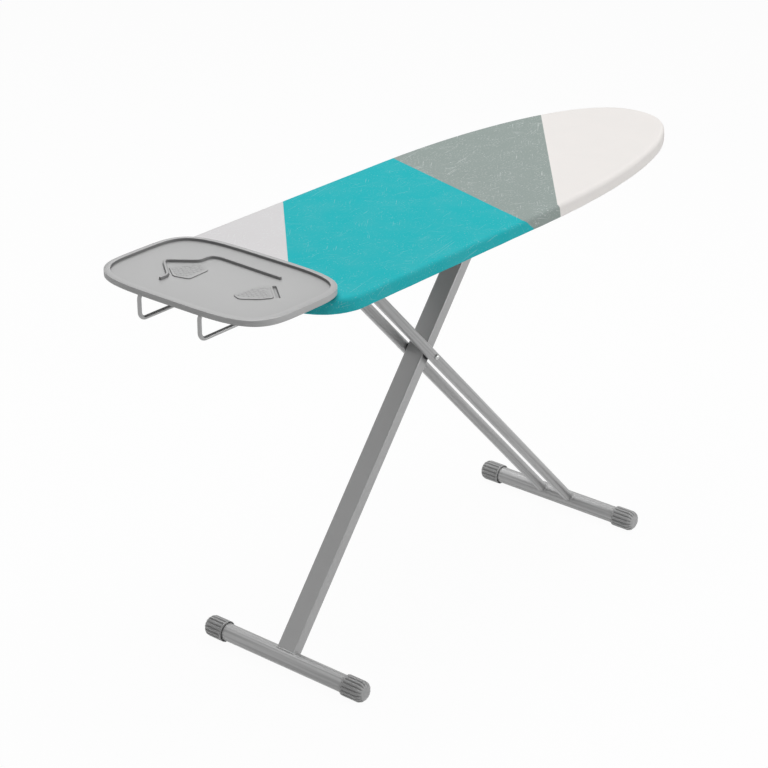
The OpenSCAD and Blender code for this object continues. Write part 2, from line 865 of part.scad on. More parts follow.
module cross_pin() {
    end = pin_end_y + clip_t + 1;
    color("whitesmoke") rod_y(slide_x, hinge_z, -end, end, pin_r);
}

module pin_glides() {
    start = tube_side + side_play;
    color("dimgray") on_both_sides()
        ring_y(slide_x, hinge_z, start, start + glide_t, head_d / 2, pin_r + fit_gap);
}

module pin_clips() {
    color("whitesmoke") on_both_sides()
        ring_y(slide_x, hinge_z, pin_end_y, pin_end_y + clip_t, pin_r + 2.5, pin_r + fit_gap);
}

cover();
pad();
deck_panel();
rim();
hinge_rib();
nose_rib();
hinge_bracket();
hinge_pin();
hinge_nut();
rail_left();
rail_right();
rail_rivets();
rest_guide_left();
rest_guide_right();
lever_rivet();
release_lever();
lever_grip();
lever_spring();
rest_tray();
rest_wire_left();
rest_wire_right();
rest_clips();
rest_screws();
wire_stops();
main_leg();
leg_plug();
rear_foot_tube();
rear_cap_left();
rear_cap_right();
pivot_bolt();
pivot_nut();
pivot_washers();
leg_tube_left();
leg_tube_right();
tube_plugs();
front_foot_tube();
front_cap_left();
front_cap_right();
cross_pin();
pin_glides();
pin_clips();
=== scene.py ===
"""Folding ironing board: its looks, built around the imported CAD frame.

Lengths are metres. +X is the nose, +Z is up, and the floor is z = 0.
"""

from __future__ import annotations
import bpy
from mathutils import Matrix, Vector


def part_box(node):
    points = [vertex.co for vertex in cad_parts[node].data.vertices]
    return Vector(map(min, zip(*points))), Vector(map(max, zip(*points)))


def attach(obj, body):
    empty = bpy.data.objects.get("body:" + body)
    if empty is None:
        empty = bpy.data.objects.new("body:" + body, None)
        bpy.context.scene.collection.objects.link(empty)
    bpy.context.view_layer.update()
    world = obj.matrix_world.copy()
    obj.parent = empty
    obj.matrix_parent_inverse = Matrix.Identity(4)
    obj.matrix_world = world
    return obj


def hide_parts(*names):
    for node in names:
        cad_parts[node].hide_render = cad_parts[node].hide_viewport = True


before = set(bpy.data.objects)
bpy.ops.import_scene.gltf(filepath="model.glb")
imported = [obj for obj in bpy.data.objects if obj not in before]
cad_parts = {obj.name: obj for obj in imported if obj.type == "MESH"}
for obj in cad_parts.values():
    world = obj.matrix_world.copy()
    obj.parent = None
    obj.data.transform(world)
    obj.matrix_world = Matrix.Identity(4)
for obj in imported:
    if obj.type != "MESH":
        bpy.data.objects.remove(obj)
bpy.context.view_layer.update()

import logging
import math
from dataclasses import dataclass, field
from enum import Enum
from typing import Any, Callable, Sequence, Union

import bpy
import numpy as np
import numpy.typing as npt
from mathutils.geometry import delaunay_2d_cdt

LOG = logging.getLogger("ironing_board")
MM = 0.001
TAU = 2 * math.pi
Array = npt.NDArray[np.float64]
Colour = tuple[float, float, float]
Spot = tuple[float, float, float]


def srgb(red: int, green: int, blue: int) -> Colour:
    """A display colour of 0 to 255 as linear light.

    Args:
        red, green, blue: the colour's parts.

    Returns:
        Its linear parts: ((c + 0.055) / 1.055) ^ 2.4, or c / 12.92 when dark.
    """
    parts = (c / 255 for c in (red, green, blue))
    return tuple(c / 12.92 if c <= 0.04045 else ((c + 0.055) / 1.055) ** 2.4 for c in parts)


class Side(Enum):
    """The side of the board's middle line that a piece is on."""

    LEFT = 1
    RIGHT = -1


class Body(Enum):
    """The rigid bodies of the frame."""

    BOARD = "board"
    LEVER = "height_lever"
    REST = "iron_rest"
    FLAT_LEG = "flat_leg"
    ROUND_LEGS = "round_legs"


# ---------------------------------------------------------------- shader maths


class Signal:
    """A socket's output as a value: arithmetic on it adds Math nodes."""

    def __init__(self, graph: "Graph", socket: bpy.types.NodeSocket) -> None:
        """Wraps a socket of a graph."""
        self.graph, self.socket = graph, socket

    def _math(self, operation: str, *values: "Value") -> "Signal":
        """A Math node of that operation on those values."""
        return self.graph.add("ShaderNodeMath", {"operation": operation}, dict(enumerate(values)))

    def __add__(self, other: "Value") -> "Signal":
        """self + other."""
        return self._math("ADD", self, other)

    def __sub__(self, other: "Value") -> "Signal":
        """self - other."""
        return self._math("SUBTRACT", self, other)

    def __rsub__(self, other: "Value") -> "Signal":
        """other - self."""
        return self._math("SUBTRACT", other, self)

    def __mul__(self, other: "Value") -> "Signal":
        """self * other."""
        return self._math("MULTIPLY", self, other)

    def __abs__(self) -> "Signal":
        """abs(self)."""
        return self._math("ABSOLUTE", self)

    __radd__ = __add__
    __rmul__ = __mul__

    def sine(self) -> "Signal":
        """sin(self)."""
        return self._math("SINE", self)

    def most(self, other: "Value") -> "Signal":
        """The larger of the two."""
        return self._math("MAXIMUM", self, other)

    def step(self, low: float, high: float) -> "Signal":
        """A smooth step from 0 at low to 1 at high; low may be the larger.

        Args:
            low: where it is 0.
            high: where it is 1.

        Returns:
            The step.
        """
        settings = {"interpolation_type": "SMOOTHSTEP", "clamp": True}
        if low < high:
            return self.graph.add("ShaderNodeMapRange", settings, {0: self, 1: low, 2: high})
        return 1 - self.graph.add("ShaderNodeMapRange", settings, {0: self, 1: high, 2: low})


Value = Union[Signal, float, Sequence[float]]


class Graph:
    """The node tree of a material or of the world."""

    def __init__(self, owner: bpy.types.Material | bpy.types.World) -> None:
        """Empties the owner's tree.

        Args:
            owner: the material or the world.
        """
        owner.use_nodes = True
        self.owner, self.tree = owner, owner.node_tree
        self.tree.nodes.clear()

    @classmethod
    def material(cls, name: str) -> "Graph":
        """A new material's tree."""
        return cls(bpy.data.materials.new(name))

    def add(self, kind: str, settings: dict[str, Any] | None = None,
            values: dict[str | int, Value] | None = None, output: str | int = 0) -> Signal:
        """Adds a node.

        Args:
            kind: the node's type.
            settings: its own settings, which are made first.
            values: numbers, vectors or signals for its inputs, by name or place.
            output: the output to return.

        Returns:
            That output.
        """
        node = self.tree.nodes.new(kind)
        for key, setting in (settings or {}).items():
            setattr(node, key, setting)
        for key, value in (values or {}).items():
            socket = node.inputs[key]
            if isinstance(value, Signal):
                self.tree.links.new(value.socket, socket)
            elif socket.type == "RGBA" and len(value) == 3:
                socket.default_value = (*value, 1.0)
            else:
                socket.default_value = value
        return Signal(self, node.outputs[output] if node.outputs else None)

    def mix(self, share: Value, first: Value, second: Value) -> Signal:
        """Colour first, turning to second by share."""
        settings = {"data_type": "RGBA", "clamp_factor": True}
        return self.add("ShaderNodeMix", settings, {0: share, 6: first, 7: second}, 2)

    def seen(self) -> Signal:
        """1 for a ray from the camera, off gloss or through glass; 0 for other light.

        Returns:
            The mask.
        """
        rays = self.add("ShaderNodeLightPath", output="Is Camera Ray")
        for name in ("Is Glossy Ray", "Is Transmission Ray"):
            rays = rays.most(self.add("ShaderNodeLightPath", output=name))
        return rays

    def spot(self) -> Signal:
        """The place on the object, in metres."""
        return self.add("ShaderNodeTexCoord", output="Object")

    def fold(self) -> Signal:
        """The fold attribute at this place of the piece: painted shade where it is above 0, painted
        light where it is below 0.
        """
        return self.add("ShaderNodeAttribute", {"attribute_name": "fold"}, output="Fac")

    def split(self, vector: Signal) -> tuple[Signal, Signal, Signal]:
        """The three parts of a vector."""
        node = self.add("ShaderNodeSeparateXYZ", values={0: vector}).socket.node
        return tuple(Signal(self, part) for part in node.outputs)

    def turned(self, vector: Signal, centre: Spot = (0, 0, 0), turn: Spot = (0, 0, 0),
               scale: Spot = (1, 1, 1)) -> Signal:
        """The vector seen from a centre, turned back by turn, then scaled.

        Args:
            vector: the vector.
            centre: the place that becomes the origin.
            turn: the Euler turn that is taken back.
            scale: the scale of each part.

        Returns:
            The new vector.
        """
        moved = self.add("ShaderNodeMapping", {"vector_type": "POINT"},
                         {"Vector": vector, "Location": tuple(-c for c in centre)})
        settings = {"rotation_type": "EULER_XYZ", "invert": True}
        rotated = self.add("ShaderNodeVectorRotate", settings, {"Vector": moved, "Rotation": turn})
        return self.add("ShaderNodeVectorMath", {"operation": "MULTIPLY"}, {0: rotated, 1: scale})

    def noise(self, vector: Signal, size: float, detail: float) -> Signal:
        """Soft noise from 0 to 1 whose lumps are about size metres."""
        return self.add("ShaderNodeTexNoise", {"noise_dimensions": "3D"},
                        {"Vector": vector, "Scale": 1 / size, "Detail": detail})

    def bump(self, height: Signal, depth: float, strength: float) -> Signal:
        """A normal that follows a height of 0 to 1, depth metres deep."""
        values = {"Height": height, "Distance": depth, "Strength": strength}
        return self.add("ShaderNodeBump", values=values)

    def shade(self, **inputs: Value) -> bpy.types.Material:
        """Ends the material with a Principled shader; Base_Color stands for Base Color.

        Args:
            inputs: the shader's inputs.

        Returns:
            The material.
        """
        values = {key.replace("_", " "): value for key, value in inputs.items()}
        shader = self.add("ShaderNodeBsdfPrincipled", values=values)
        self.add("ShaderNodeOutputMaterial", values={"Surface": shader})
        return self.owner


# ------------------------------------------------------------------- finishes


@dataclass(frozen=True)
class PrintLine:
    """An edge of the cover's print, through places on the flat cloth from +Y to -Y.

    Two places make a straight line. A third one bends it, so that it leans to the nose on the
    turned-down side, where the cord pulls the cloth forward.
    """

    places: tuple[tuple[float, float], ...]

    def behind(self, x: Signal, y: Signal, blur: float) -> Signal:
        """1 on the tail's side of the line and 0 on the nose's: the union over its straight parts.

        Args:
            x: the place along the flat cloth.
            y: the place across it.
            blur: half the edge's soft width.

        Returns:
            The mask.
        """
        sides = []
        for start, end in zip(self.places, self.places[1:]):
            run, rise = end[0] - start[0], end[1] - start[1]
            size = math.hypot(run, rise) * (1 if rise < 0 else -1)
            across = (x - start[0]) * (rise / size) - (y - start[1]) * (run / size)
            sides.append(across.step(-blur, blur))
        return sides[0] if len(sides) == 1 else sides[0].most(sides[1])


@dataclass(frozen=True)
class CottonPrint:
    """Plain-woven cotton, printed in worn blocks of colour."""

    tail: Colour = srgb(224, 222, 223)
    teal: Colour = srgb(44, 187, 195)
    sage: Colour = srgb(156, 167, 163)
    nose: Colour = srgb(244, 240, 237)
    tail_line: PrintLine = PrintLine(((-0.181, 0.200), (-0.403, -0.012)))
    teal_line: PrintLine = PrintLine(((0.1305, 0.194), (0.0165, -0.1975), (0.0490, -0.2250)))
    sage_line: PrintLine = PrintLine(((0.527, 0.135), (0.1240, -0.1975), (0.1300, -0.2250)))
    thread: float = 0.55 * MM
    blur: float = 0.3 * MM
    plain_wear: float = 0.03
    print_wear: float = 0.11
    sage_wear: float = 0.44
    tail_wear: float = 0.4

    def hairlines(self, graph: Graph, cloth: Signal, turn: float, width: float,
                  stretch: float = 30.0) -> Signal:
        """Straight fine scratches along one direction, in patches.

        Args:
            graph: the material.
            cloth: the place on the flat cloth.
            turn: the scratches' direction from +X.
            width: their usual width.
            stretch: how many times as long they are.

        Returns:
            1 on a scratch: stretched noise over a threshold, times a patch mask.
        """
        along = graph.turned(cloth, turn=(0, 0, turn), scale=(1 / stretch, 1, 1))
        line = graph.noise(along, width * 2.4, 0.0).step(0.735, 0.775)
        patch = graph.noise(graph.turned(cloth, (turn, 0.7, 0)), 0.045, 1.0).step(0.50, 0.62)
        return line * patch

    def make(self) -> bpy.types.Material:
        """Builds the cotton.

        Returns:
            The material.
        """
        graph = Graph.material("printed_cotton")
        cloth = graph.add("ShaderNodeUVMap", {"uv_map": "cloth"})
        x, y, _ = graph.split(cloth)
        is_sage = self.sage_line.behind(x, y, self.blur)
        is_teal = self.teal_line.behind(x, y, self.blur)
        ink = graph.mix(is_sage, self.nose, self.sage)
        ink = graph.mix(is_teal, ink, self.teal)
        is_tail = self.tail_line.behind(x, y, self.blur)
        ink = graph.mix(is_tail, ink, self.tail)
        lines = self.hairlines(graph, cloth, 0.19, 0.0009, 140.0)
        for turn, width in ((-0.32, 0.0007), (0.62, 0.0008), (-0.95, 0.0006)):
            lines = lines.most(self.hairlines(graph, cloth, turn, width))
        flecks = graph.noise(cloth, 0.0036, 1.0).step(0.58, 0.74)
        flecks = flecks * (graph.noise(cloth, 0.03, 2.0).step(0.40, 0.62) * 0.75 + 0.25)
        # the sage block is worn most, then the tail's, and the plain nose least
        worn = (is_sage * self.print_wear + (is_sage - is_teal) * self.sage_wear
                + is_tail * self.tail_wear + self.plain_wear)
        ink = graph.mix((lines + flecks) * worn, ink, srgb(240, 244, 243))
        faded = graph.noise(cloth, 0.07, 3.0).step(0.30, 0.75)
        ink = graph.mix(faded * 0.035, ink, srgb(206, 212, 212))
        weft = (x * (math.pi / self.thread)).sine()
        warp = (y * (math.pi / self.thread)).sine()
        weave = weft * warp * 0.5 + 0.5
        slub = graph.noise(graph.turned(cloth, scale=(0.12, 1, 1)), 0.0012, 2.0)
        ink = graph.mix((1 - weave) * 0.06, ink, (0.02, 0.03, 0.03))
        normal = graph.bump(weave * 0.7 + slub * 0.5, 0.10 * MM, 0.5)
        return graph.shade(Base_Color=ink, Roughness=slub * 0.10 + 0.86, Normal=normal,
                           Specular_IOR_Level=0.06)


@dataclass(frozen=True)
class Felt:
    """Needled felt with fibres and a few dark flecks."""

    wool: Colour = srgb(221, 215, 204)

    def make(self) -> bpy.types.Material:
        """Builds the felt.

        Returns:
            The material.
        """
        graph = Graph.material("needled_felt")
        spot = graph.spot()
        fibre = graph.noise(graph.turned(spot, turn=(0, 0, 0.5), scale=(0.2, 1, 1)), 0.0009, 3.0)
        tuft = graph.noise(spot, 0.006, 4.0)
        fleck = graph.noise(spot, 0.0025, 1.0).step(0.70, 0.76)
        wool = graph.mix(tuft, tuple(0.86 * c for c in self.wool), self.wool)
        wool = graph.mix(fleck * 0.5, wool, srgb(150, 146, 140))
        return graph.shade(Base_Color=wool, Roughness=fibre * 0.1 + 0.88, Sheen_Weight=0.2,
                           Normal=graph.bump(fibre * 0.6 + tuft, 0.5 * MM, 0.6))


@dataclass(frozen=True)
class LegFrame:
    """Where a leg's own axes are: along it, across it on Y, and through its thickness."""

    centre: Spot
    slope: float
    half_width: float
    half_depth: float


@dataclass(frozen=True)
class PowderCoat:
    """Satin silver-grey powder coat on steel: fine orange peel, with edges lightened by wear and by a
    painted highlight, and painted shade and painted light where a piece's fold attribute sets them.
    """

    name: str
    paint: Colour
    metallic: float = 0.4
    roughness: float = 0.34
    leg: LegFrame | None = None
    drawn: Spot | None = None
    # painted shade: how far a positive fold attribute darkens the paint towards black
    painted_shading: float = 0.0
    gloss: float = 0.35
    peel: float = 0.002 * MM
    line_shade: float = 0.66
    # painted light: the lighter colour that a negative fold attribute turns the paint towards
    painted_light_tone: Colour = srgb(214, 214, 214)

    def die_lines(self, graph: Graph, spot: Signal) -> Signal:
        """Fine lines along a drawn tube: noise, stretched a hundredfold.

        The turn drawn lays the tube's axis on +X.

        Args:
            graph: the material.
            spot: the place on the piece.

        Returns:
            From 0 to 1 across the lines.
        """
        along, across, through = graph.split(graph.turned(spot, turn=self.drawn))
        lines = graph.add("ShaderNodeCombineXYZ", values={0: along * 0.01, 1: across, 2: through})
        return graph.noise(lines, 0.0034, 1.0).step(0.34, 0.66)

    def edge_wear_and_highlight(self, graph: Graph, spot: Signal) -> Signal:
        """1 along the four long edges of a flat leg, where they wear and take a painted highlight:
        |across| and |through| near their ends.

        Args:
            graph: the material.
            spot: the place on the piece.

        Returns:
            The mask.
        """
        local = graph.turned(spot, self.leg.centre, (0, -self.leg.slope, 0))
        _, across, through = graph.split(local)
        width, depth = self.leg.half_width, self.leg.half_depth
        return (abs(across).step(width - 1.8 * MM, width - 0.3 * MM)
                * abs(through).step(depth - 1.8 * MM, depth - 0.3 * MM))

    def make(self) -> bpy.types.Material:
        """Builds the powder coat.

        Returns:
            The material.
        """
        graph = Graph.material(self.name)
        spot = graph.spot()
        peel = graph.noise(spot, 0.0016, 2.0)
        flake = graph.noise(spot, 0.0005, 1.0)
        cloud = graph.noise(spot, 0.06, 3.0)
        scuff = graph.noise(graph.turned(spot, turn=(0.3, 0.2, 0.7), scale=(0.08, 1, 1)), 0.0016, 2.0)
        scuff = scuff.step(0.66, 0.72) * graph.noise(spot, 0.045, 2.0).step(0.52, 0.66)
        tone = cloud * 0.6 + flake * 0.4
        paint = graph.mix(tone, tuple(0.93 * c for c in self.paint),
                          tuple(1.07 * c for c in self.paint))
        paint = graph.mix(scuff * 0.18, paint, tuple(1.25 * c for c in self.paint))
        rough = cloud * 0.08 + flake * 0.06 + (self.roughness - 0.07)
        if self.drawn:
            lines = self.die_lines(graph, spot)
            paint = graph.mix(lines * 0.7, paint, tuple(self.line_shade * c for c in self.paint))
            rough = rough + lines * 0.06
        if self.leg:
            # lighter patches along the leg's edges: worn paint, and a painted highlight on the corners
            worn = self.edge_wear_and_highlight(graph, spot) * graph.noise(spot, 0.012, 4.0).step(0.34, 0.60)
            paint = graph.mix(worn * 0.35, paint, srgb(214, 215, 215))
            rough = rough - worn * 0.08
        # painted shade: the fold attribute darkens the paint towards black; where it is below 0,
        # painted light turns it lighter
        if self.painted_shading:
            fold = graph.fold()
            paint = graph.mix(fold * self.painted_shading, paint, (0.0, 0.0, 0.0))
            paint = graph.mix(fold * -0.3, paint, self.painted_light_tone)
        rough = rough + scuff * 0.06
        return graph.shade(Base_Color=paint, Metallic=self.metallic, Roughness=rough,
                           Coat_Weight=self.gloss, Coat_Roughness=0.24,
                           Normal=graph.bump(peel * 0.8 + flake * 0.2, self.peel, 0.5))


@dataclass(frozen=True)
class MouldedPlastic:
    """Moulded plastic with a fine spark-eroded grain and faint flow marks, and painted shade where its
    fold attribute sets it.
    """

    name: str
    tint: Colour
    roughness: float = 0.40
    shine: float = 0.5
    # painted shade: how far the fold attribute darkens the plastic towards black
    painted_shading: float = 0.0

    def make(self) -> bpy.types.Material:
        """Builds the plastic.

        Returns:
            The material.
        """
        graph = Graph.material(self.name)
        spot = graph.spot()
        grain = graph.noise(spot, 0.0007, 3.0)
        flow = graph.noise(graph.turned(spot, scale=(1, 0.25, 1)), 0.010, 3.0)
        dust = graph.noise(spot, 0.004, 3.0).step(0.62, 0.78)
        tint = graph.mix(flow, tuple(0.90 * c for c in self.tint), tuple(1.10 * c for c in self.tint))
        tint = graph.mix(dust * 0.12, tint, srgb(150, 150, 150))
        # painted shade from the fold attribute, towards black
        if self.painted_shading:
            tint = graph.mix(graph.fold() * self.painted_shading, tint, (0.0, 0.0, 0.0))
        rough = grain * 0.10 + dust * 0.15 + (self.roughness - 0.05)
        return graph.shade(Base_Color=tint, Roughness=rough, Specular_IOR_Level=self.shine,
                           Normal=graph.bump(grain, 0.02 * MM, 0.5))


@dataclass(frozen=True)
class ZincPlate:
    """Bright zinc plate: a metal with faint spangle, brushing and dull patches."""

    zinc: Colour = srgb(196, 197, 196)

    def make(self) -> bpy.types.Material:
        """Builds the zinc.

        Returns:
            The material.
        """
        graph = Graph.material("zinc_plate")
        spot = graph.spot()
        brush = graph.noise(graph.turned(spot, scale=(1, 0.06, 1)), 0.0006, 2.0)
        spangle = graph.add("ShaderNodeTexVoronoi", {"feature": "F1"},
                            {"Vector": spot, "Scale": 420.0}, "Distance")
        dull = graph.noise(spot, 0.008, 3.0).step(0.45, 0.70)
        zinc = graph.mix(spangle * 0.6, self.zinc, tuple(0.8 * c for c in self.zinc))
        zinc = graph.mix(dull * 0.3, zinc, srgb(150, 148, 142))
        return graph.shade(Base_Color=zinc, Metallic=1.0, Roughness=brush * 0.14 + dull * 0.16 + 0.20,
                           Normal=graph.bump(brush, 0.02 * MM, 0.4))


# ------------------------------------------------------------------- surfaces


@dataclass
class Shell:
    """A mesh that is gathered from grids of points."""

    points: list[Array] = field(default_factory=list)
    cloth: list[Array] = field(default_factory=list)
    folds: list[Array] = field(default_factory=list)
    faces: list[Array] = field(default_factory=list)
    count: int = 0

    def vertices(self, points: Array, cloth: Array | None = None, fold: Array | float = 0.0) -> Array:
        """Adds points.

        Args:
            points: their places (n, 3), or a grid (rows, columns, 3).
            cloth: their places on the flat cloth (n, 2).
            fold: how much painted shade darkens each, from 0 to 1, or below 0 how much painted light
            lightens it; for a grid, it may be one per row.

        Returns:
            Their numbers in the mesh.
        """
        shape = np.shape(points)[:-1]
        points = np.asarray(points, float).reshape(-1, 3)
        fold = np.asarray(fold, float)
        fold = fold[:, None] if fold.ndim == 1 and len(shape) == 2 else fold
        self.folds.append(np.broadcast_to(fold, shape).ravel())
        self.points.append(points)
        self.cloth.append(points[:, :2] if cloth is None else np.asarray(cloth).reshape(-1, 2))
        self.count += len(points)
        return np.arange(self.count - len(points), self.count)

    def join(self, numbers: Array, wrap: bool = True, flip: bool = False) -> None:
        """Joins a grid of vertex numbers (rows, columns) by quads.

        Two corners that share a number give a triangle, so a pole closes to a point.

        Args:
            numbers: the grid.
            wrap: the last column meets the first.
            flip: turns the faces over.
        """
        near, far = numbers[:-1], numbers[1:]
        if wrap:
            corners = near, far, np.roll(far, -1, 1), np.roll(near, -1, 1)
        else:
            corners = near[:, :-1], far[:, :-1], far[:, 1:], near[:, 1:]
        quads = np.stack([c.ravel() for c in corners], 1)
        if flip:
            quads = quads[:, ::-1]
        after = np.roll(quads, -1, 1)
        same = quads == after
        self.faces.append(quads[~same.any(1)])
        for corner in range(4):
            pinched = quads[same[:, corner] & (same.sum(1) == 1)]
            self.faces.append(np.delete(pinched, corner, 1))

    def skin(self, rows: Array, wrap: bool = True, flip: bool = False,
             cloth: Array | None = None, fold: Array | float = 0.0) -> Array:
        """Covers a grid of points (rows, columns, 3); a row in one place becomes a pole.

        Args:
            rows: the grid.
            wrap: the last column meets the first.
            flip: turns the faces over.
            cloth: the points' places on the flat cloth.
            fold: how much painted shade darkens each point.

        Returns:
            The grid's vertex numbers.
        """
        numbers = self.vertices(rows, cloth, fold).reshape(rows.shape[:2])
        pole = np.ptp(rows, axis=1).max(1) < 1e-9
        numbers[pole] = numbers[pole][:, :1]
        self.join(numbers, wrap, flip)
        return numbers

    def lathe(self, origin: Spot, axis: Spot, radii: Array, heights: Array, turns: int = 40,
              flip: bool = False, fold: Array | float = 0.0) -> Array:
        """Turns a profile about an axis: P = origin + h axis + r (cos t u + sin t v).

        Args:
            origin: where h is 0.
            axis: the axis's direction, of length 1.
            radii: r, as (rows) or (rows, turns).
            heights: h for each row.
            turns: the number of columns.
            flip: turns the faces over.
            fold: how much painted shade darkens each point.

        Returns:
            The grid's vertex numbers.
        """
        u, v = across(axis)
        angle = np.linspace(0, TAU, turns, endpoint=False)
        wheel = np.outer(np.cos(angle), u) + np.outer(np.sin(angle), v)
        radii = np.asarray(radii, float).reshape(len(heights), -1, 1)
        rows = np.array(origin) + np.multiply.outer(heights, axis)[:, None] + radii * wheel
        return self.skin(rows, flip=flip, fold=fold)

    def ring(self, rows: Array) -> None:
        """Covers a grid of points (rows, columns, 3) that closes both ways, like a tyre."""
        numbers = self.vertices(rows).reshape(rows.shape[:2])
        self.join(np.concatenate([numbers, numbers[:1]]))

    def plate(self, rims: Sequence[tuple[Array, Array]], up: bool = True) -> None:
        """Fills the flat space between an outer rim and its holes by a Delaunay triangulation.

        Args:
            rims: each rim's vertex numbers, and its places (n, 2); the outer one comes first.
            up: the faces point up.
        """
        numbers = np.concatenate([rim for rim, _ in rims])
        places = np.concatenate([place for _, place in rims])
        starts = np.cumsum([0] + [len(rim) for rim, _ in rims])
        sides = [np.stack([np.arange(a, b), np.roll(np.arange(a, b), -1)], 1)
                 for a, b in zip(starts, starts[1:])]
        scaled = (places - places.mean(0)) / MM
        vectors = [Vector(place) for place in scaled]
        found = delaunay_2d_cdt(vectors, np.concatenate(sides).tolist(), [], 0, 1e-5)
        if len(found[0]) != len(places):
            raise ValueError("the rims of a plate cross")
        triangles = np.array([[found[3][corner][0] for corner in face] for face in found[2]])
        middle = places[triangles].mean(1)
        kept = inside(middle, rims[0][1])
        for _, hole in rims[1:]:
            kept &= ~inside(middle, hole)
        triangles = triangles[kept]
        one, two = (places[triangles[:, k]] - places[triangles[:, 0]] for k in (1, 2))
        over = (one[:, 0] * two[:, 1] < one[:, 1] * two[:, 0]) == up
        triangles[over] = triangles[over][:, ::-1]
        self.faces.append(numbers[triangles])

    def build(self, name: str, finish: bpy.types.Material, crease: float = 40.0,
              closed: bool = True) -> bpy.types.Object:
        """Makes the object.

        Args:
            name: the piece's name.
            finish: its material.
            crease: edges sharper than this many degrees stay sharp.
            closed: the shells are closed, so their volume says which way is out.

        Returns:
            The object, at the origin.
        """
        points, cloth, fold = (np.concatenate(each) for each in (self.points, self.cloth, self.folds))
        faces = [f for f in self.faces if len(f)]
        used, renumber = np.unique(np.concatenate([f.ravel() for f in faces]), return_inverse=True)
        points, cloth, fold = points[used], cloth[used], fold[used]
        splits = np.cumsum([f.size for f in faces])[:-1]
        faces = [part.reshape(f.shape) for part, f in zip(np.split(renumber.ravel(), splits), faces)]
        if closed:
            volume = sum(
                np.einsum("ij,ij->", points[f[:, 0]], np.cross(points[f[:, k]], points[f[:, k + 1]]))
                for f in faces for k in range(1, f.shape[1] - 1))
            if volume < 0:
                faces = [f[:, ::-1] for f in faces]
        mesh = bpy.data.meshes.new(name)
        mesh.from_pydata(points.tolist(), [], [face for f in faces for face in f.tolist()])
        layer = mesh.uv_layers.new(name="cloth")
        corner = np.zeros(len(mesh.loops), np.int32)
        mesh.loops.foreach_get("vertex_index", corner)
        layer.data.foreach_set("uv", cloth[corner].astype(np.float32).ravel())
        # the painted shade and painted light go to the mesh as its fold attribute
        if fold.any():
            painted_shading = mesh.attributes.new("fold", "FLOAT", "POINT")
            painted_shading.data.foreach_set("value", fold.astype(np.float32))
        mesh.shade_smooth()
        mesh.set_sharp_from_angle(angle=math.radians(crease))
        mesh.materials.append(finish)
        piece = bpy.data.objects.new(name, mesh)
        bpy.context.scene.collection.objects.link(piece)
        return piece


def across(axis: Spot) -> tuple[Array, Array]:
    """Two directions square to an axis, so that u, v and the axis are right-handed.

    Args:
        axis: the direction, of length 1.

    Returns:
        u and v.
    """
    axis = np.array(axis, float)
    helper = np.array((0.0, 0, 1)) if abs(axis[2]) < 0.9 else np.array((1.0, 0, 0))
    u = np.cross(helper, axis)
    u /= np.linalg.norm(u)
    return u, np.cross(axis, u)


def arc(centre: tuple[float, float], radius: float, start: float, end: float, steps: int) -> Array:
    """Points (steps + 1, 2) of a circle: centre + radius (cos a, sin a), a in degrees."""
    angle = np.radians(np.linspace(start, end, steps + 1))
    return np.array(centre) + radius * np.stack([np.cos(angle), np.sin(angle)], 1)


def distances(path: Array) -> Array:
    """How far along an open path each of its points lies."""
    return np.concatenate([[0], np.cumsum(np.linalg.norm(np.diff(path, axis=0), axis=1))])


def even(path: Array, pitch: float) -> Array:
    """An open path again, in even steps of about pitch.

    Args:
        path: the points (n, 2).
        pitch: the distance between the new points.

    Returns:
        The new points.
    """
    run = distances(path)
    at = np.linspace(0, run[-1], max(2, round(run[-1] / pitch) + 1))
    return np.stack([np.interp(at, run, part) for part in path.T], 1)


def outwards(loop: Array) -> Array:
    """The outward directions of an anticlockwise loop (n, 2): its tangent, turned right.

    Args:
        loop: the points (n, 2).

    Returns:
        The directions, of length 1.
    """
    run = np.roll(loop, -1, 0) - np.roll(loop, 1, 0)
    run /= np.linalg.norm(run, axis=1, keepdims=True)
    return np.stack([run[:, 1], -run[:, 0]], 1)


def ease(value: Array, low: float, high: float) -> Array:
    """A smooth step from 0 at low to 1 at high: t t (3 - 2 t)."""
    share = np.clip((value - low) / (high - low), 0, 1)
    return share * share * (3 - 2 * share)


def dress(body: Body, piece: bpy.types.Object, nodes: Sequence[str]) -> bpy.types.Object:
    """Puts a piece on its body and hides the CAD nodes that it stands for.

    Args:
        body: the body it rides on.
        piece: the piece.
        nodes: the CAD nodes; none for a piece that is only added.

    Returns:
        The piece.
    """
    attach(piece, body.value)
    if nodes:
        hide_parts(*nodes)
    LOG.info("%s: %d faces, rides on %s", piece.name, len(piece.data.polygons), body.value)
    return piece


def coat_nodes(finish: bpy.types.Material, *names: str) -> None:
    """Puts a finish on CAD nodes that are shown as they are.

    Args:
        finish: the material.
        names: the nodes' names.
    """
    for name in names:
        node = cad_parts[name]
        node.data.materials.clear()
        node.data.materials.append(finish)
        LOG.info("%s: carried over in %s", name, finish.name)


# ----------------------------------------------------------------- the board


@dataclass
class Loop:
    """Stations round the board's outline, with the directions that point out of it.

    They start at the nose's tip. side is the number of the last one on the +Y side, and tail
    how many steps lead from there across the tail.
    """

    points: Array
    normals: Array
    side: int
    tail: int

    def inset(self, distance: float) -> Array:
        """The stations moved inwards."""
        return self.points - distance * self.normals


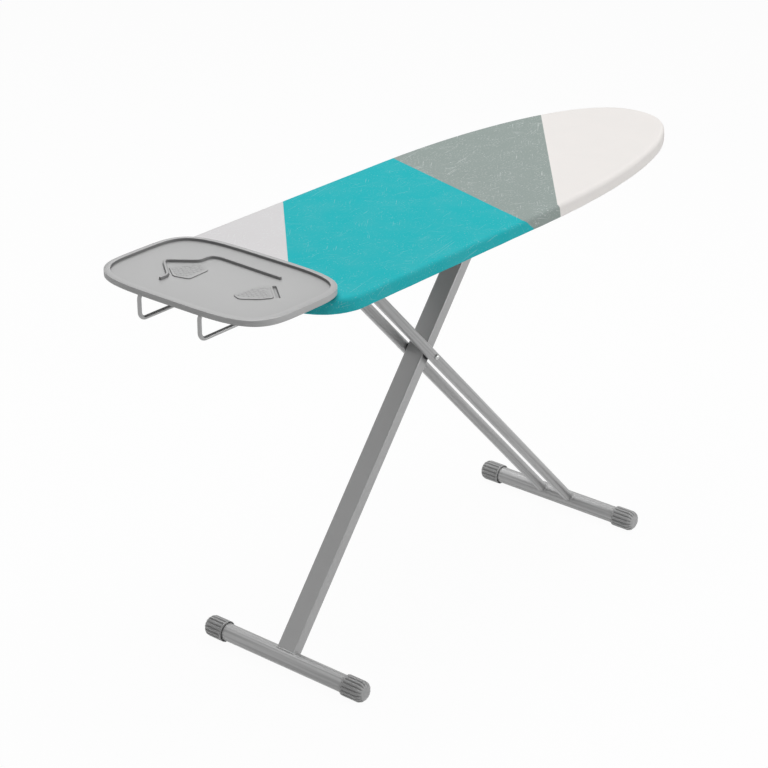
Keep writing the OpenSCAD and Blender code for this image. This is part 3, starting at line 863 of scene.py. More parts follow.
@dataclass
class BoardOutline:
    """The board seen from above: a long nose, straight sides and a rounded square tail."""

    tail_x: float
    nose_x: float
    half: float
    nose_len: float = 0.600
    corner: float = 0.089
    power_x: float = 2.04
    power_y: float = 2.3

    def nose(self, t: Array) -> tuple[Array, Array]:
        """Points and normals of the nose.

        x = taper + length cos(t)^(2 / px), y = half sin(t)^(2 / py), and the normal is the
        gradient of (x / length)^px + (y / half)^py.

        Args:
            t: the parameter, from 0 at the tip to a quarter turn at the sides.

        Returns:
            The points and their normals (n, 2).
        """
        u = np.cos(t).clip(0) ** (2 / self.power_x)
        v = np.sin(t).clip(0) ** (2 / self.power_y)
        points = np.stack([self.nose_x - self.nose_len * (1 - u), self.half * v], 1)
        slope = np.stack([self.power_x / self.nose_len * u ** (self.power_x - 1),
                          self.power_y / self.half * v ** (self.power_y - 1)], 1)
        return points, slope / np.linalg.norm(slope, axis=1, keepdims=True)

    def loop(self, pitch: float) -> Loop:
        """Stations about pitch apart, from the tip along +Y to the tail and back along -Y.

        Args:
            pitch: the distance between stations.

        Returns:
            The stations.
        """
        fine = np.linspace(0, math.pi / 2, 4000)
        length = distances(self.nose(fine)[0])
        steps = round(length[-1] / pitch)
        nose, nose_out = self.nose(np.interp(np.linspace(0, length[-1], steps + 1), length, fine))
        corner_x = self.tail_x + self.corner
        steps = round((nose[-1, 0] - corner_x) / pitch)
        straight = np.stack([np.linspace(nose[-1, 0], corner_x, steps + 1)[1:],
                             np.full(steps, self.half)], 1)
        steps = round(self.corner * math.pi / 2 / pitch)
        bend = arc((corner_x, self.half - self.corner), self.corner, 90, 180, steps)[1:]
        bend_out = (bend - (corner_x, self.half - self.corner)) / self.corner
        side = np.concatenate([nose, straight, bend])
        side_out = np.concatenate([nose_out, np.tile((0.0, 1.0), (len(straight), 1)), bend_out])
        tail = round(2 * (self.half - self.corner) / pitch)
        edge = np.linspace(side[-1], side[-1] * (1, -1), tail + 1)[1:-1]
        points = np.concatenate([side, edge, (side * (1, -1))[:0:-1]])
        normals = np.concatenate([side_out, np.tile((-1.0, 0.0), (tail - 1, 1)),
                                  (side_out * (1, -1))[:0:-1]])
        return Loop(points, normals, len(side) - 1, tail)


def lid(shell: Shell, loop: Loop, ring: Array, rim: Array, cloth: Array,
        crown: Callable[[Array, Array], Array], up: bool = True) -> None:
    """Closes the space inside a ring of the board by rows across it.

    A row's point is left + (right - left) j / columns, raised by crown(x, y).

    Args:
        shell: the mesh.
        loop: the stations that the ring follows.
        ring: the ring's vertex numbers.
        rim: the ring's points.
        cloth: the ring's places on the flat cloth.
        crown: the height that is added at a place.
        up: the faces point up.
    """
    left = np.arange(1, loop.side + 1)
    right = len(ring) - left
    share = np.linspace(0, 1, loop.tail + 1)[1:-1, None, None]
    across_rows = (rim[left] + (rim[right] - rim[left]) * share).transpose(1, 0, 2)
    across_cloth = (cloth[left] + (cloth[right] - cloth[left]) * share).transpose(1, 0, 2)
    across_rows[..., 2] += crown(across_rows[..., 0], across_rows[..., 1])
    numbers = np.empty((loop.side, loop.tail + 1), int)
    numbers[:, 0], numbers[:, -1] = ring[left], ring[right]
    numbers[:-1, 1:-1] = shell.vertices(across_rows[:-1], across_cloth[:-1]).reshape(loop.side - 1, -1)
    numbers[-1] = ring[loop.side:loop.side + loop.tail + 1]
    numbers = np.concatenate([np.full((1, loop.tail + 1), ring[0]), numbers])
    shell.join(numbers, wrap=False, flip=not up)


@dataclass
class Board:
    """The padded board: printed cover, felt pad, steel deck, rails and guides."""

    edge: float = 8 * MM
    hem: float = 30 * MM
    thickness: float = 1.1 * MM
    turn_under: float = 2.6 * MM
    casing: float = 2.1 * MM
    pitch: float = 4 * MM
    pad_pitch: float = 9 * MM
    pad_inset: float = 1.5 * MM
    pleat: float = 19 * MM
    hem_lift: float = 0.75 * MM
    side_swing: float = 0.30 * MM
    swell: float = 0.16 * MM

    def section(self, top: float, low: float) -> Array:
        """The cover's profile (rows, 2) as inset and height, from the top to the hem.

        A quarter circle of radius edge, the side, a quarter circle under, and the hem, whose
        end is rolled into the cord's casing.

        Args:
            top: the ironing surface's height.
            low: the hem's height.

        Returns:
            The profile.
        """
        over = arc((self.edge, top - self.edge), self.edge, 90, 180, 7)
        side = np.linspace(over[-1], (0, low + self.turn_under), 6)[1:-1]
        under = arc((self.turn_under, low + self.turn_under), self.turn_under, 180, 270, 4)
        flat = np.linspace(under[-1], (self.hem - 2 * self.casing, low), 6)[1:]
        roll = arc((self.hem - self.casing, low + self.casing), self.casing, 270, 480, 7)[2:]
        return np.concatenate([over, side, under, flat, roll])

    def crown(self, x: Array, y: Array) -> Array:
        """The pad's soft unevenness: a few long waves, at most 0.4 mm."""
        return self.swell * (np.sin(21 * x + 0.7) * np.cos(25 * y) + np.sin(9 * x - 13 * y)
                             + 0.5 * np.sin(47 * x + 31 * y))

    def pucker(self, loop: Loop, run: Array) -> tuple[Array, Array]:
        """How the gathered hem ripples: sideways and upwards, for each row and station.

        A row takes amplitude a(row) (sin(k s + f sin(0.31 k s)) + 0.4 sin(1.7 k s)), with s the
        distance round the board, more where the outline bends.

        Args:
            loop: the stations.
            run: how far down the section each row lies.

        Returns:
            The shifts outwards and upwards (rows, stations).
        """
        step = np.linalg.norm(np.diff(loop.points, axis=0, append=loop.points[:1]), axis=1)
        place = np.cumsum(step)
        turned = np.roll(loop.normals, -2, 0) - np.roll(loop.normals, 2, 0)
        bend = np.linalg.norm(turned, axis=1) / (4 * step)
        bend = np.convolve(np.tile(bend, 3), np.ones(15) / 15, "same")[len(bend):2 * len(bend)]
        wave = TAU * place / self.pleat
        ripple = np.sin(wave + 1.4 * np.sin(0.31 * wave)) + 0.4 * np.sin(1.7 * wave + 0.5)
        ripple *= 0.35 + ease(bend, 1.0, 9.0)
        slack = np.sin(0.23 * wave + 0.8) * np.sin(0.071 * wave)
        under = ease(run, run[-1] * 0.62, run[-1] * 0.95)
        side = (ease(run, run[-1] * 0.20, run[-1] * 0.42)
                * (1 - ease(run, run[-1] * 0.45, run[-1] * 0.60)))
        lift = self.hem_lift * under[:, None] * np.maximum(ripple, -0.1)
        out = -self.side_swing * side[:, None] * (0.5 * ripple + slack)
        return out, lift

    def cover(self, outline: BoardOutline, top: float, low: float,
              finish: bpy.types.Material) -> bpy.types.Object:
        """Sews the cover: rings of the section round the outline, and the ironing surface.

        A point's place on the flat cloth is the surface's edge, moved outwards by its run over
        the section.

        Args:
            outline: the board's outline.
            top: the ironing surface's height.
            low: the hem's height.
            finish: its cotton.

        Returns:
            The cover.
        """
        loop = outline.loop(self.pitch)
        section = self.section(top, low)
        run = distances(section)
        out, lift = self.pucker(loop, run)
        inset = section[:, 0, None] - out
        rings = loop.points - inset[..., None] * loop.normals
        height = section[:, 1, None] + lift
        rows = np.concatenate([rings, height[..., None]], 2)
        start = loop.inset(self.edge)
        flat = start + run[:, None, None] * loop.normals
        shell = Shell()
        numbers = shell.skin(rows, cloth=flat)
        lid(shell, loop, numbers[0], rows[0], flat[0], self.crown)
        piece = shell.build("board_cover", finish, 70, closed=False)
        solid = piece.modifiers.new("cloth_thickness", "SOLIDIFY")
        solid.thickness, solid.offset = self.thickness, -1
        dress(Body.BOARD, piece, ["cover"])
        return piece

    def pad(self, outline: BoardOutline, finish: bpy.types.Material) -> bpy.types.Object:
        """Cuts the felt pad: a slab with a rounded upper edge under the cover.

        Args:
            outline: the board's outline.
            finish: its felt.

        Returns:
            The pad.
        """
        low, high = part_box("pad")
        loop = outline.loop(self.pad_pitch)
        curve = self.edge - self.thickness
        edge = arc((curve, high.z - curve), curve, 90, 180, 5)
        foot = np.array([(0.0, low.z + 0.4 * MM), (0.4 * MM, low.z)])
        section = np.concatenate([edge, foot]) + (self.pad_inset, 0)
        rings = np.stack([np.column_stack([loop.inset(d), np.full(len(loop.points), z)])
                          for d, z in section])
        shell = Shell()
        numbers = shell.skin(rings)
        flat = rings[..., :2]
        lid(shell, loop, numbers[0], rings[0], flat[0], lambda x, y: self.crown(x, y) * 0.3 - 0.05 * MM)
        lid(shell, loop, numbers[-1], rings[-1], flat[-1], lambda x, y: 0 * x, up=False)
        piece = dress(Body.BOARD, shell.build("felt_pad", finish), ["pad"])
        return piece

    def build(self, finishes: "Finishes") -> None:
        """Makes the board's own pieces and coats the steel that carries them.

        Args:
            finishes: the materials.
        """
        low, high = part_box("cover")
        outline = BoardOutline(low.x, high.x, (high.y - low.y) / 2)
        self.cover(outline, high.z, low.z, finishes.cotton)
        self.pad(outline, finishes.felt)
        coat_nodes(finishes.deck, "deck_panel", "rim", "hinge_rib", "nose_rib", "hinge_bracket",
                   "rail_left", "rail_right")
        coat_nodes(finishes.dark, "rest_guide_left", "rest_guide_right")
        coat_nodes(finishes.zinc, "rail_rivets", "lever_rivet")


# ------------------------------------------------------------- the iron rest


class Press(Enum):
    """Profiles of the shapes pressed into the tray's floor, from foot to crest.

    Each has its upper face first and its underside second, as outset and height in millimetres
    and the painted shade that darkens the flanks there.
    """

    # the third number of a row is the painted shade that darkens it
    BEAD = (((1.5, 0, 0), (0.9, 0, 0.85), (0.15, 0.06, 1), (0, 0.4, 1), (-0.1, 4.2, 1),
             (-0.35, 4.65, 1), (-0.9, 4.8, 0.2)),
            ((1.5, 0, 0), (-0.5, 0.1, 0), (-1.0, 0.7, 0), (-1.1, 5.2, 0), (-1.6, 5.8, 0)))
    GROOVE = (((1.0, 0, 0), (0.2, -0.05, 0.1), (0, -0.4, 0.4), (-0.5, -3.4, 0.6), (-0.9, -4.0, 0.5),
               (-2.2, -4.2, 0.4)),
              ((2.2, 0, 0), (1.4, -0.1, 0), (1.1, -0.7, 0), (0.7, -3.3, 0), (0.1, -4.1, 0),
               (-1.2, -4.3, 0)))
    PAD = (((0.8, 0, 0), (0.3, 0, 0.8), (0.05, 0.05, 1), (-0.05, 0.3, 1), (-0.2, 1.2, 1),
            (-0.5, 1.55, 0.4), (-1.3, 1.6, 0)),
           ((0.8, 0, 0), (-0.6, 0.1, 0), (-0.9, 0.5, 0), (-1.1, 1.4, 0), (-1.9, 1.6, 0)))


@dataclass
class IronRest:
    """The pressed tray on two wire arms that slide under the board.

    The paths of bead, groove and pads are in millimetres from the tray's middle. Of the
    section's rows, the first ones, from the floor's edge up the inner wall to the brow, are darkened by
    painted shade, and a band over the outer corner and skirt is lightened by painted light.
    """

    power: float = 4.16
    lip: float = 11 * MM
    recess: float = 5 * MM
    metal: float = 2 * MM
    stations: int = 360
    bead_half: float = 2.5 * MM
    groove_half: float = 3.5 * MM
    wire_bend: float = 13 * MM
    dome_pitch: float = 8.5 * MM
    dome_round: float = 2.3 * MM
    dome_rise: float = 1.0 * MM
    dome_columns: int = 12
    wire_columns: int = 32
    # painted shade on the first rows of the section: floor's edge, foot, inner wall and brow
    wall_painted_shade: tuple = (0.1, 0.6, 1, 1, 1, 1, 1, 0.9, 0.5, 0.2, 0, 0)
    # painted light: the rows over the outer corner and the skirt
    skirt_painted_light_rows: tuple[int, int] = (20, 26)
    dip: float = 0.42
    bead: tuple = ((62, -80), (66, 58), (61, 73), (52, 77), (33, 77), (-2, 123), (-10, 119),
                   (-47, 73), (-66, 72))
    groove: tuple = ((32, -94), (1, -131))
    pads: tuple = (((-19, 99.5), (-43, 66), (-35, 35), (13, 37), (28, 70)),
                   ((-40, -68), (-47, -87), (-27, -114), (-7, -129), (28.5, -86.5), (9, -73)))

    def outline(self, length: float, width: float) -> tuple[Array, Array]:
        """The tray's superellipse and its outward normals.

        x = a |cos t|^(2 / n), y = b |sin t|^(2 / n), each with its sign; stations are spread
        evenly round it.

        Args:
            length: its size along X.
            width: its size along Y.

        Returns:
            The stations and their normals (n, 2).
        """
        fine = np.linspace(0, TAU, 20001)

        def at(t: Array) -> Array:
            """The curve at t.

            Args:
                t: the parameter.

            Returns:
                The points (n, 2).
            """
            c, s = np.cos(t), np.sin(t)
            return np.stack([length / 2 * np.sign(c) * np.abs(c) ** (2 / self.power),
                             width / 2 * np.sign(s) * np.abs(s) ** (2 / self.power)], 1)

        run = distances(at(fine))
        t = np.interp(np.linspace(0, run[-1], self.stations, endpoint=False), run, fine)
        points = at(t)
        share = 2 * np.abs(points) / (length, width)
        slope = np.sign(points) * share ** (self.power - 1) / (length, width)
        return points, slope / np.linalg.norm(slope, axis=1, keepdims=True)

    def section(self, low: float, top: float) -> Array:
        """The tray's profile (rows, 2) as inset and height, from the floor's edge outwards.

        The floor's edge, its foot and wall, the brow, the lip that falls gently outwards to a
        tight corner, the skirt, its rolled hem, and back inside.

        Args:
            low: the hem's height.
            top: the lip's height.

        Returns:
            The profile.
        """
        floor = top - self.recess
        under = floor - self.metal
        edge = self.lip + 3.2 * MM
        foot = arc((self.lip + 0.9 * MM, floor + 0.6 * MM), 0.6 * MM, 270, 186, 5)
        brow = arc((self.lip - 0.5 * MM, top - 0.7 * MM), 0.7 * MM, 4, 90, 5)
        fall = top - np.array([0, 0.05, 0.2, 0.5, 0.9, 1.25]) * MM
        slope = np.stack([np.array([7.2, 6.0, 4.8, 3.4, 2.0, 1.1]) * MM, fall], 1)
        corner = arc((0.8 * MM, top - 2.2 * MM), 0.8 * MM, 108, 180, 5)
        hem = arc((1 * MM, low + 1 * MM), 1 * MM, 180, 360, 8)
        back = np.array([
            (2.0 * MM, top - 4.5 * MM), (2.6 * MM, top - 3.4 * MM), (4 * MM, top - 2.6 * MM),
            (self.lip - 3.2 * MM, top - 2.0 * MM), (self.lip - 1.8 * MM, top - 2.4 * MM),
            (self.lip - 1.2 * MM, top - 3.6 * MM), (self.lip - 1.1 * MM, under + 1.1 * MM),
            (self.lip - 0.6 * MM, under + 0.4 * MM), (self.lip + 0.5 * MM, under), (edge, under)])
        return np.concatenate([[(edge, floor)], foot, brow, slope, corner, hem, back])

    def lip_heights(self, section: Array, normals: Array, floor: float) -> Array:
        """Heights (rows, stations, 1): the lip stands lower on the end that the iron comes over.

        There its height above the floor shrinks by the share dip, eased in round the corners.

        Args:
            section: the profile.
            normals: the stations' outward directions.
            floor: the floor's height.

        Returns:
            The heights.
        """
        share = self.dip * ease(-normals[:, 0], 0.30, 0.95)
        above = np.maximum(section[:, 1] - floor, 0)
        return (section[:, 1, None] - above[:, None] * share)[..., None]

    def press(self, shell: Shell, loops: Array, painted_shading: Array, up: bool) -> Array:
        """Joins a pressed shape's loops (rows, n, 3), from its foot to its crest.

        Args:
            shell: the tray's mesh.
            loops: the loops.
            painted_shading: how much painted shade darkens each loop.
            up: whether this is the upper face.

        Returns:
            The loops' vertex numbers.
        """
        numbers = shell.vertices(loops, fold=painted_shading).reshape(loops.shape[:2])
        shell.join(numbers, flip=up)
        return numbers

    def strip(self, shell: Shell, path: Array, half: float, press: Press, level: float,
              up: bool) -> tuple[Array, Array]:
        """Presses a bead or groove along a path; its crest is a strip between its two sides.

        Args:
            shell: the tray's mesh.
            path: the middle line (n, 2).
            half: half the strip's width at its crest.
            press: its profile.
            level: the floor's height.
            up: whether this is the upper face.

        Returns:
            The rim's vertex numbers and places, for the floor to leave out.
        """
        profile = np.array(press.value[0 if up else 1]) * (MM, MM, 1)
        flat = np.stack([strip_loop(path, half + outset) for outset in profile[:, 0]])
        heights = np.broadcast_to(level + profile[:, 1, None, None], (*flat.shape[:2], 1))
        numbers = self.press(shell, np.concatenate([flat, heights], 2), profile[:, 2], up)
        crest = numbers[-1].reshape(2, -1)
        shell.join(np.stack([crest[0], crest[1, ::-1]]), wrap=False, flip=up)
        return numbers[0], flat[0]

    def pad(self, shell: Shell, corners: Array, level: float, up: bool) -> tuple[Array, Array]:
        """Presses a low plateau with rows of small domes on its upper face.

        Args:
            shell: the tray's mesh.
            corners: the plateau's corners (n, 2).
            level: the floor's height.
            up: whether this is the upper face.

        Returns:
            The rim's vertex numbers and places, for the floor to leave out.
        """
        outline = fillet(np.concatenate([corners, corners[:2]]), 6 * MM, 7)
        outline = even(outline, 2 * MM)[:-1]
        if np.cross(outline, np.roll(outline, -1, 0)).sum() < 0:
            outline = outline[::-1]
        profile = np.array(Press.PAD.value[0 if up else 1]) * (MM, MM, 1)
        flat = outline + profile[:, 0, None, None] * outwards(outline)
        heights = np.broadcast_to(level + profile[:, 1, None, None], (*flat.shape[:2], 1))
        numbers = self.press(shell, np.concatenate([flat, heights], 2), profile[:, 2], up)
        rims = [(numbers[-1], flat[-1])]
        if up:
            rims += self.domes(shell, outline, level + profile[-1, 1])
        shell.plate(rims, up)
        return numbers[0], flat[0]

    def domes(self, shell: Shell, outline: Array, level: float) -> list[tuple[Array, Array]]:
        """Raises staggered rows of domes: r = R sin(a), h = H cos(a), on a small flared foot.

        Args:
            shell: the tray's mesh.
            outline: the plateau's outline (n, 2).
            level: the plateau's height.

        Returns:
            Each dome's rim numbers and places.
        """
        u, v = np.meshgrid(np.arange(-9, 10), np.arange(-9, 10))
        spots = np.stack([(u + 0.5 * (v % 2)) * self.dome_pitch, v * self.dome_pitch * 0.87], -1)
        spots = spots.reshape(-1, 2) + outline.mean(0)
        angle = np.radians((78, 52, 27, 0))
        radii = np.concatenate([[self.dome_round + 0.5 * MM], self.dome_round * np.sin(angle)])
        heights = np.concatenate([[0], self.dome_rise * np.cos(angle)])
        # painted shade round each dome's foot
        painted_shading = np.repeat([[0.25], [0.35], [0.2], [0], [0]], self.dome_columns, 1)
        rims = []
        for spot in spots[inside(spots, outline - 5.5 * MM * outwards(outline))]:
            numbers = shell.lathe((*spot, level), (0, 0, 1), radii, heights, self.dome_columns,
                                  flip=True, fold=painted_shading)
            turn = np.linspace(0, TAU, self.dome_columns, endpoint=False)
            rim = spot + radii[0] * np.stack([np.sin(turn), -np.cos(turn)], 1)
            rims.append((numbers[0], rim))
        return rims

    def tray(self, finish: bpy.types.Material) -> bpy.types.Object:
        """Presses the tray: the section carried round the outline, and a floor with its shapes.

        Args:
            finish: its coat.

        Returns:
            The tray.
        """
        low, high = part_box("rest_tray")
        centre = np.array([(low.x + high.x) / 2, 0])
        points, normals = self.outline(high.x - low.x, high.y - low.y)
        section = self.section(low.z, high.z)
        rows = points + centre - section[:, 0, None, None] * normals
        shell = Shell()
        heights = self.lip_heights(section, normals, section[0, 1])
        # painted shade on the inner wall's rows, painted light on the skirt's
        painted_shading = np.zeros(len(section))
        painted_shading[:len(self.wall_painted_shade)] = self.wall_painted_shade
        painted_shading[slice(*self.skirt_painted_light_rows)] = -1
        numbers = shell.skin(np.concatenate([rows, heights], 2), fold=painted_shading)
        bead = smooth(even(fillet(np.array(self.bead, float), 8, 9), 1.5)) * MM + centre
        groove = even(np.array(self.groove, float), 3.0) * MM + centre
        for row, up in ((0, True), (-1, False)):
            level = section[row, 1]
            rims = [(numbers[row], rows[row])]
            rims.append(self.strip(shell, bead, self.bead_half, Press.BEAD, level, up))
            rims.append(self.strip(shell, groove, self.groove_half, Press.GROOVE, level, up))
            for corners in self.pads:
                rims.append(self.pad(shell, np.array(corners, float) * MM + centre, level, up))
            shell.plate(rims, up)
        return dress(Body.REST, shell.build("iron_tray", finish, 50), ["rest_tray"])

    def arm(self, side: Side, node: str, finish: bpy.types.Material) -> bpy.types.Object:
        """Bends a wire arm: a round section along two runs joined by quarter bends.

        Args:
            side: which arm, for its name.
            node: the CAD arm that it replaces, whose box gives its place.
            finish: its coat.

        Returns:
            The arm.
        """
        low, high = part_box(node)
        r, y, bend = (high.y - low.y) / 2, (low.y + high.y) / 2, self.wire_bend
        outer, top_z, low_z = low.x + r, high.z - r, low.z + r
        upper = arc((outer + bend, top_z - bend), bend, 90, 180, 12)
        lower = arc((outer + bend, low_z + bend), bend, 180, 270, 12)
        turn = np.radians((4, 35, 60, 80, 90))
        tip = r * (1 - np.sin(turn))
        upper_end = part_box("rest_clips")[1].x
        start = np.stack([upper_end - tip, np.full(5, top_z)], 1)
        end = np.stack([high.x - tip[::-1], np.full(5, low_z)], 1)
        flat = np.concatenate([start, upper, lower, end])
        radii = np.concatenate([r * np.sin(turn), np.full(len(upper) + len(lower), r),
                                r * np.sin(turn[::-1])])
        tangent = np.gradient(flat, axis=0)
        tangent /= np.linalg.norm(tangent, axis=1, keepdims=True)
        up = np.stack([-tangent[:, 1], tangent[:, 0]], 1)
        angle = np.linspace(0, TAU, self.wire_columns, endpoint=False)
        beside = flat[:, None] + (radii[:, None] * np.cos(angle))[..., None] * up[:, None]
        rows = np.stack([beside[..., 0], y + radii[:, None] * np.sin(angle), beside[..., 1]], 2)
        poles = np.broadcast_to(rows[[0, -1]].mean(1, keepdims=True), (2, *rows.shape[1:]))
        shell = Shell()
        shell.skin(np.concatenate([poles[:1], rows, poles[1:]]))
        piece = shell.build(f"wire_arm_{side.name.lower()}", finish)
        return dress(Body.REST, piece, [node])

    def build(self, finishes: "Finishes") -> None:
        """Makes the tray and its arms, and coats the small parts under it.

        Args:
            finishes: the materials.
        """
        self.tray(finishes.tray)
        self.arm(Side.LEFT, "rest_wire_left", finishes.wire)
        self.arm(Side.RIGHT, "rest_wire_right", finishes.wire)
        coat_nodes(finishes.dark, "rest_clips", "wire_stops")
        coat_nodes(finishes.zinc, "rest_screws")


def smooth(path: Array) -> Array:
    """An open path with its bends evened out: (before + 2 here + after) / 4, three times.

    Args:
        path: the points (n, 2).

    Returns:
        The new points.
    """
    for _ in range(3):
        path = np.concatenate([path[:1], (path[:-2] + 2 * path[1:-1] + path[2:]) / 4, path[-1:]])
    return path


def strip_loop(path: Array, half: float) -> Array:
    """An anticlockwise loop (2 m, 2) round an open path, half away from it, with blunt ends.

    Past each end its half-width is half cos(a)^0.5 at a distance of 0.8 half sin(a).

    Args:
        path: the open path (m, 2) before its ends are added.
        half: the distance.

    Returns:
        The loop.
    """
    turn = np.radians((14, 42, 70))
    run = np.gradient(path, axis=0)
    run /= np.linalg.norm(run, axis=1, keepdims=True)
    reach = 0.8 * half * np.sin(turn)[:, None]
    line = np.concatenate([path[:1] - reach[::-1] * run[:1], path, path[-1:] + reach * run[-1:]])
    run = np.concatenate([np.repeat(run[:1], 3, 0), run, np.repeat(run[-1:], 3, 0)])
    blunt = np.cos(turn) ** 0.5
    width = half * np.concatenate([blunt[::-1], np.ones(len(path)), blunt])[:, None]
    left = width * np.stack([-run[:, 1], run[:, 0]], 1)
    return np.concatenate([line - left, (line + left)[::-1]])


def fillet(row: Array, radius: float, steps: int) -> Array:
    """Rounds the corners of a row of points by quadratic curves.

    Each corner C becomes (1 - t)^2 A + 2 t (1 - t) C + t^2 B, with A and B on its two legs, at
    most radius or 0.45 of a leg away.

    Args:
        row: the points (n, 2); a row whose first two points come again at its end is closed.
        radius: how far from a corner its curve may start.
        steps: how many points a curve has.

    Returns:
        The rounded row.
    """
    before, at, after = row[:-2], row[1:-1], row[2:]

    def leg(end: Array) -> Array:
        """Where a corner's curve leaves one of its legs.

        Args:
            end: the corners' neighbours on one side.

        Returns:
            A point for each corner.
        """
        away = end - at
        size = np.linalg.norm(away, axis=1, keepdims=True)
        return at + away * np.minimum(radius / size, 0.45)

    t = np.linspace(0, 1, steps)[None, :, None]
    a, b = leg(before)[:, None], leg(after)[:, None]
    curve = (1 - t) ** 2 * a + 2 * t * (1 - t) * at[:, None] + t ** 2 * b
    inner = curve.reshape(-1, 2)
    if len(row) > 3 and np.allclose(row[0], row[-2]) and np.allclose(row[1], row[-1]):
        return np.concatenate([inner, inner[:1]])
    return np.concatenate([row[:1], inner, row[-1:]])


def inside(spots: Array, corners: Array) -> Array:
    """Which spots lie inside a polygon.

    A line to the right of such a spot crosses the sides an odd number of times.

    Args:
        spots: the places (n, 2).
        corners: the polygon (m, 2).

    Returns:
        Whether each spot lies inside.
    """
    start, end = corners, np.roll(corners, -1, 0)
    x, y = spots[:, :1], spots[:, 1:]
    crosses = (start[:, 1] > y) != (end[:, 1] > y)
    rise = np.where(end[:, 1] == start[:, 1], 1.0, end[:, 1] - start[:, 1])
    at = start[:, 0] + (y - start[:, 1]) * (end[:, 0] - start[:, 0]) / rise
    return (crosses & (x < at)).sum(1) % 2 == 1


# ------------------------------------------------------------------ the stand


@dataclass
class FootCap:
    """A moulded cap on a foot bar: a rounded square cup, fluted along its length."""

    size: float = 40 * MM
    round: float = 20.6 * MM
    fillet: float = 12.0 * MM
    bore: float = 17.05 * MM
    band: float = 3.2 * MM
    end: float = 8 * MM
    depth: float = 1.7 * MM
    # painted shade over the closed end
    end_painted_shade: float = 0.22
    flutes: int = 16
    columns: int = 256

    def radius(self, angle: Array) -> Array:
        """A circle cut by a square: min(round, size / 2 / max(|cos|, |sin|))."""
        square = self.size / 2 / np.maximum(np.abs(np.cos(angle)), np.abs(np.sin(angle)))
        return np.minimum(self.round, square)

    def make(self, name: str, node: str, side: Side, body: Body,
             finish: bpy.types.Material) -> bpy.types.Object:
        """Moulds a cap over a bar's end: inside of the cup, mouth, fluted wall and closed end.

        The wall's radius is base - depth w(h) g(angle): g is a row of narrow rounded grooves,
        ((1 + cos) / 2)^3, and w fades them out at the mouth's band and on the end's fillet. Painted
        shade darkens the grooves, and thinly the closed end.

        Args:
            name: the piece's name.
            node: the CAD cap that it replaces, whose box gives its place.
            side: the end of the bar.
            body: the body it rides on.
            finish: its plastic.

        Returns:
            The cap.
        """
        low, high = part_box(node)
        length = high.y - low.y
        mouth = low.y if side is Side.LEFT else high.y
        angle = np.linspace(0, TAU, self.columns, endpoint=False)
        base = self.radius(angle)
        groove = ((1 + np.cos(self.flutes * angle)) / 2) ** 3
        bore = np.array([(length - self.end, 0), (length - self.end, self.bore), (5 * MM, self.bore),
                         (4.6 * MM, self.bore + 1.8 * MM), (0.4 * MM, self.bore + 2.1 * MM)])
        wall = np.array([(0, 0.9), (0.25, 0.3), (0.9, 0), (2.6, 0), (3.2, 0), (3.8, 0)]) * MM
        straight = np.stack([np.linspace(5 * MM, length - self.fillet, 8), np.zeros(8)], 1)
        turn = np.radians((12, 24, 36, 48, 60, 72, 82, 90))
        crown = np.stack([length - self.fillet * (1 - np.sin(turn)),
                          self.fillet * (1 - np.cos(turn))], 1)
        skin = np.concatenate([wall, straight, crown])
        window = ease(skin[:, 0], self.band, 5 * MM) * (1 - ease(skin[:, 0], length - 3 * MM, length))
        outer = base - skin[:, 1, None] - self.depth * window[:, None] * groove
        face = (base - self.fillet) * np.array([[0.6], [0]])
        rows = np.concatenate([np.broadcast_to(bore[:, 1, None], (5, self.columns)), outer, face])
        heights = np.concatenate([bore[:, 0], skin[:, 0], [length, length]])
        # painted shade in the grooves and, thinly, over the closed end
        groove_and_end_shade = np.zeros(rows.shape)
        closing = ease(skin[:, :1], length - 8 * MM, length)
        groove_and_end_shade[5:-2] = window[:, None] * groove + self.end_painted_shade * closing
        groove_and_end_shade[-2:] = self.end_painted_shade
        shell = Shell()
        centre = ((low.x + high.x) / 2, mouth, self.size / 2)
        shell.lathe(centre, (0, side.value, 0), rows, heights, self.columns, fold=groove_and_end_shade)
        return dress(body, shell.build(name, finish, 55), [node])


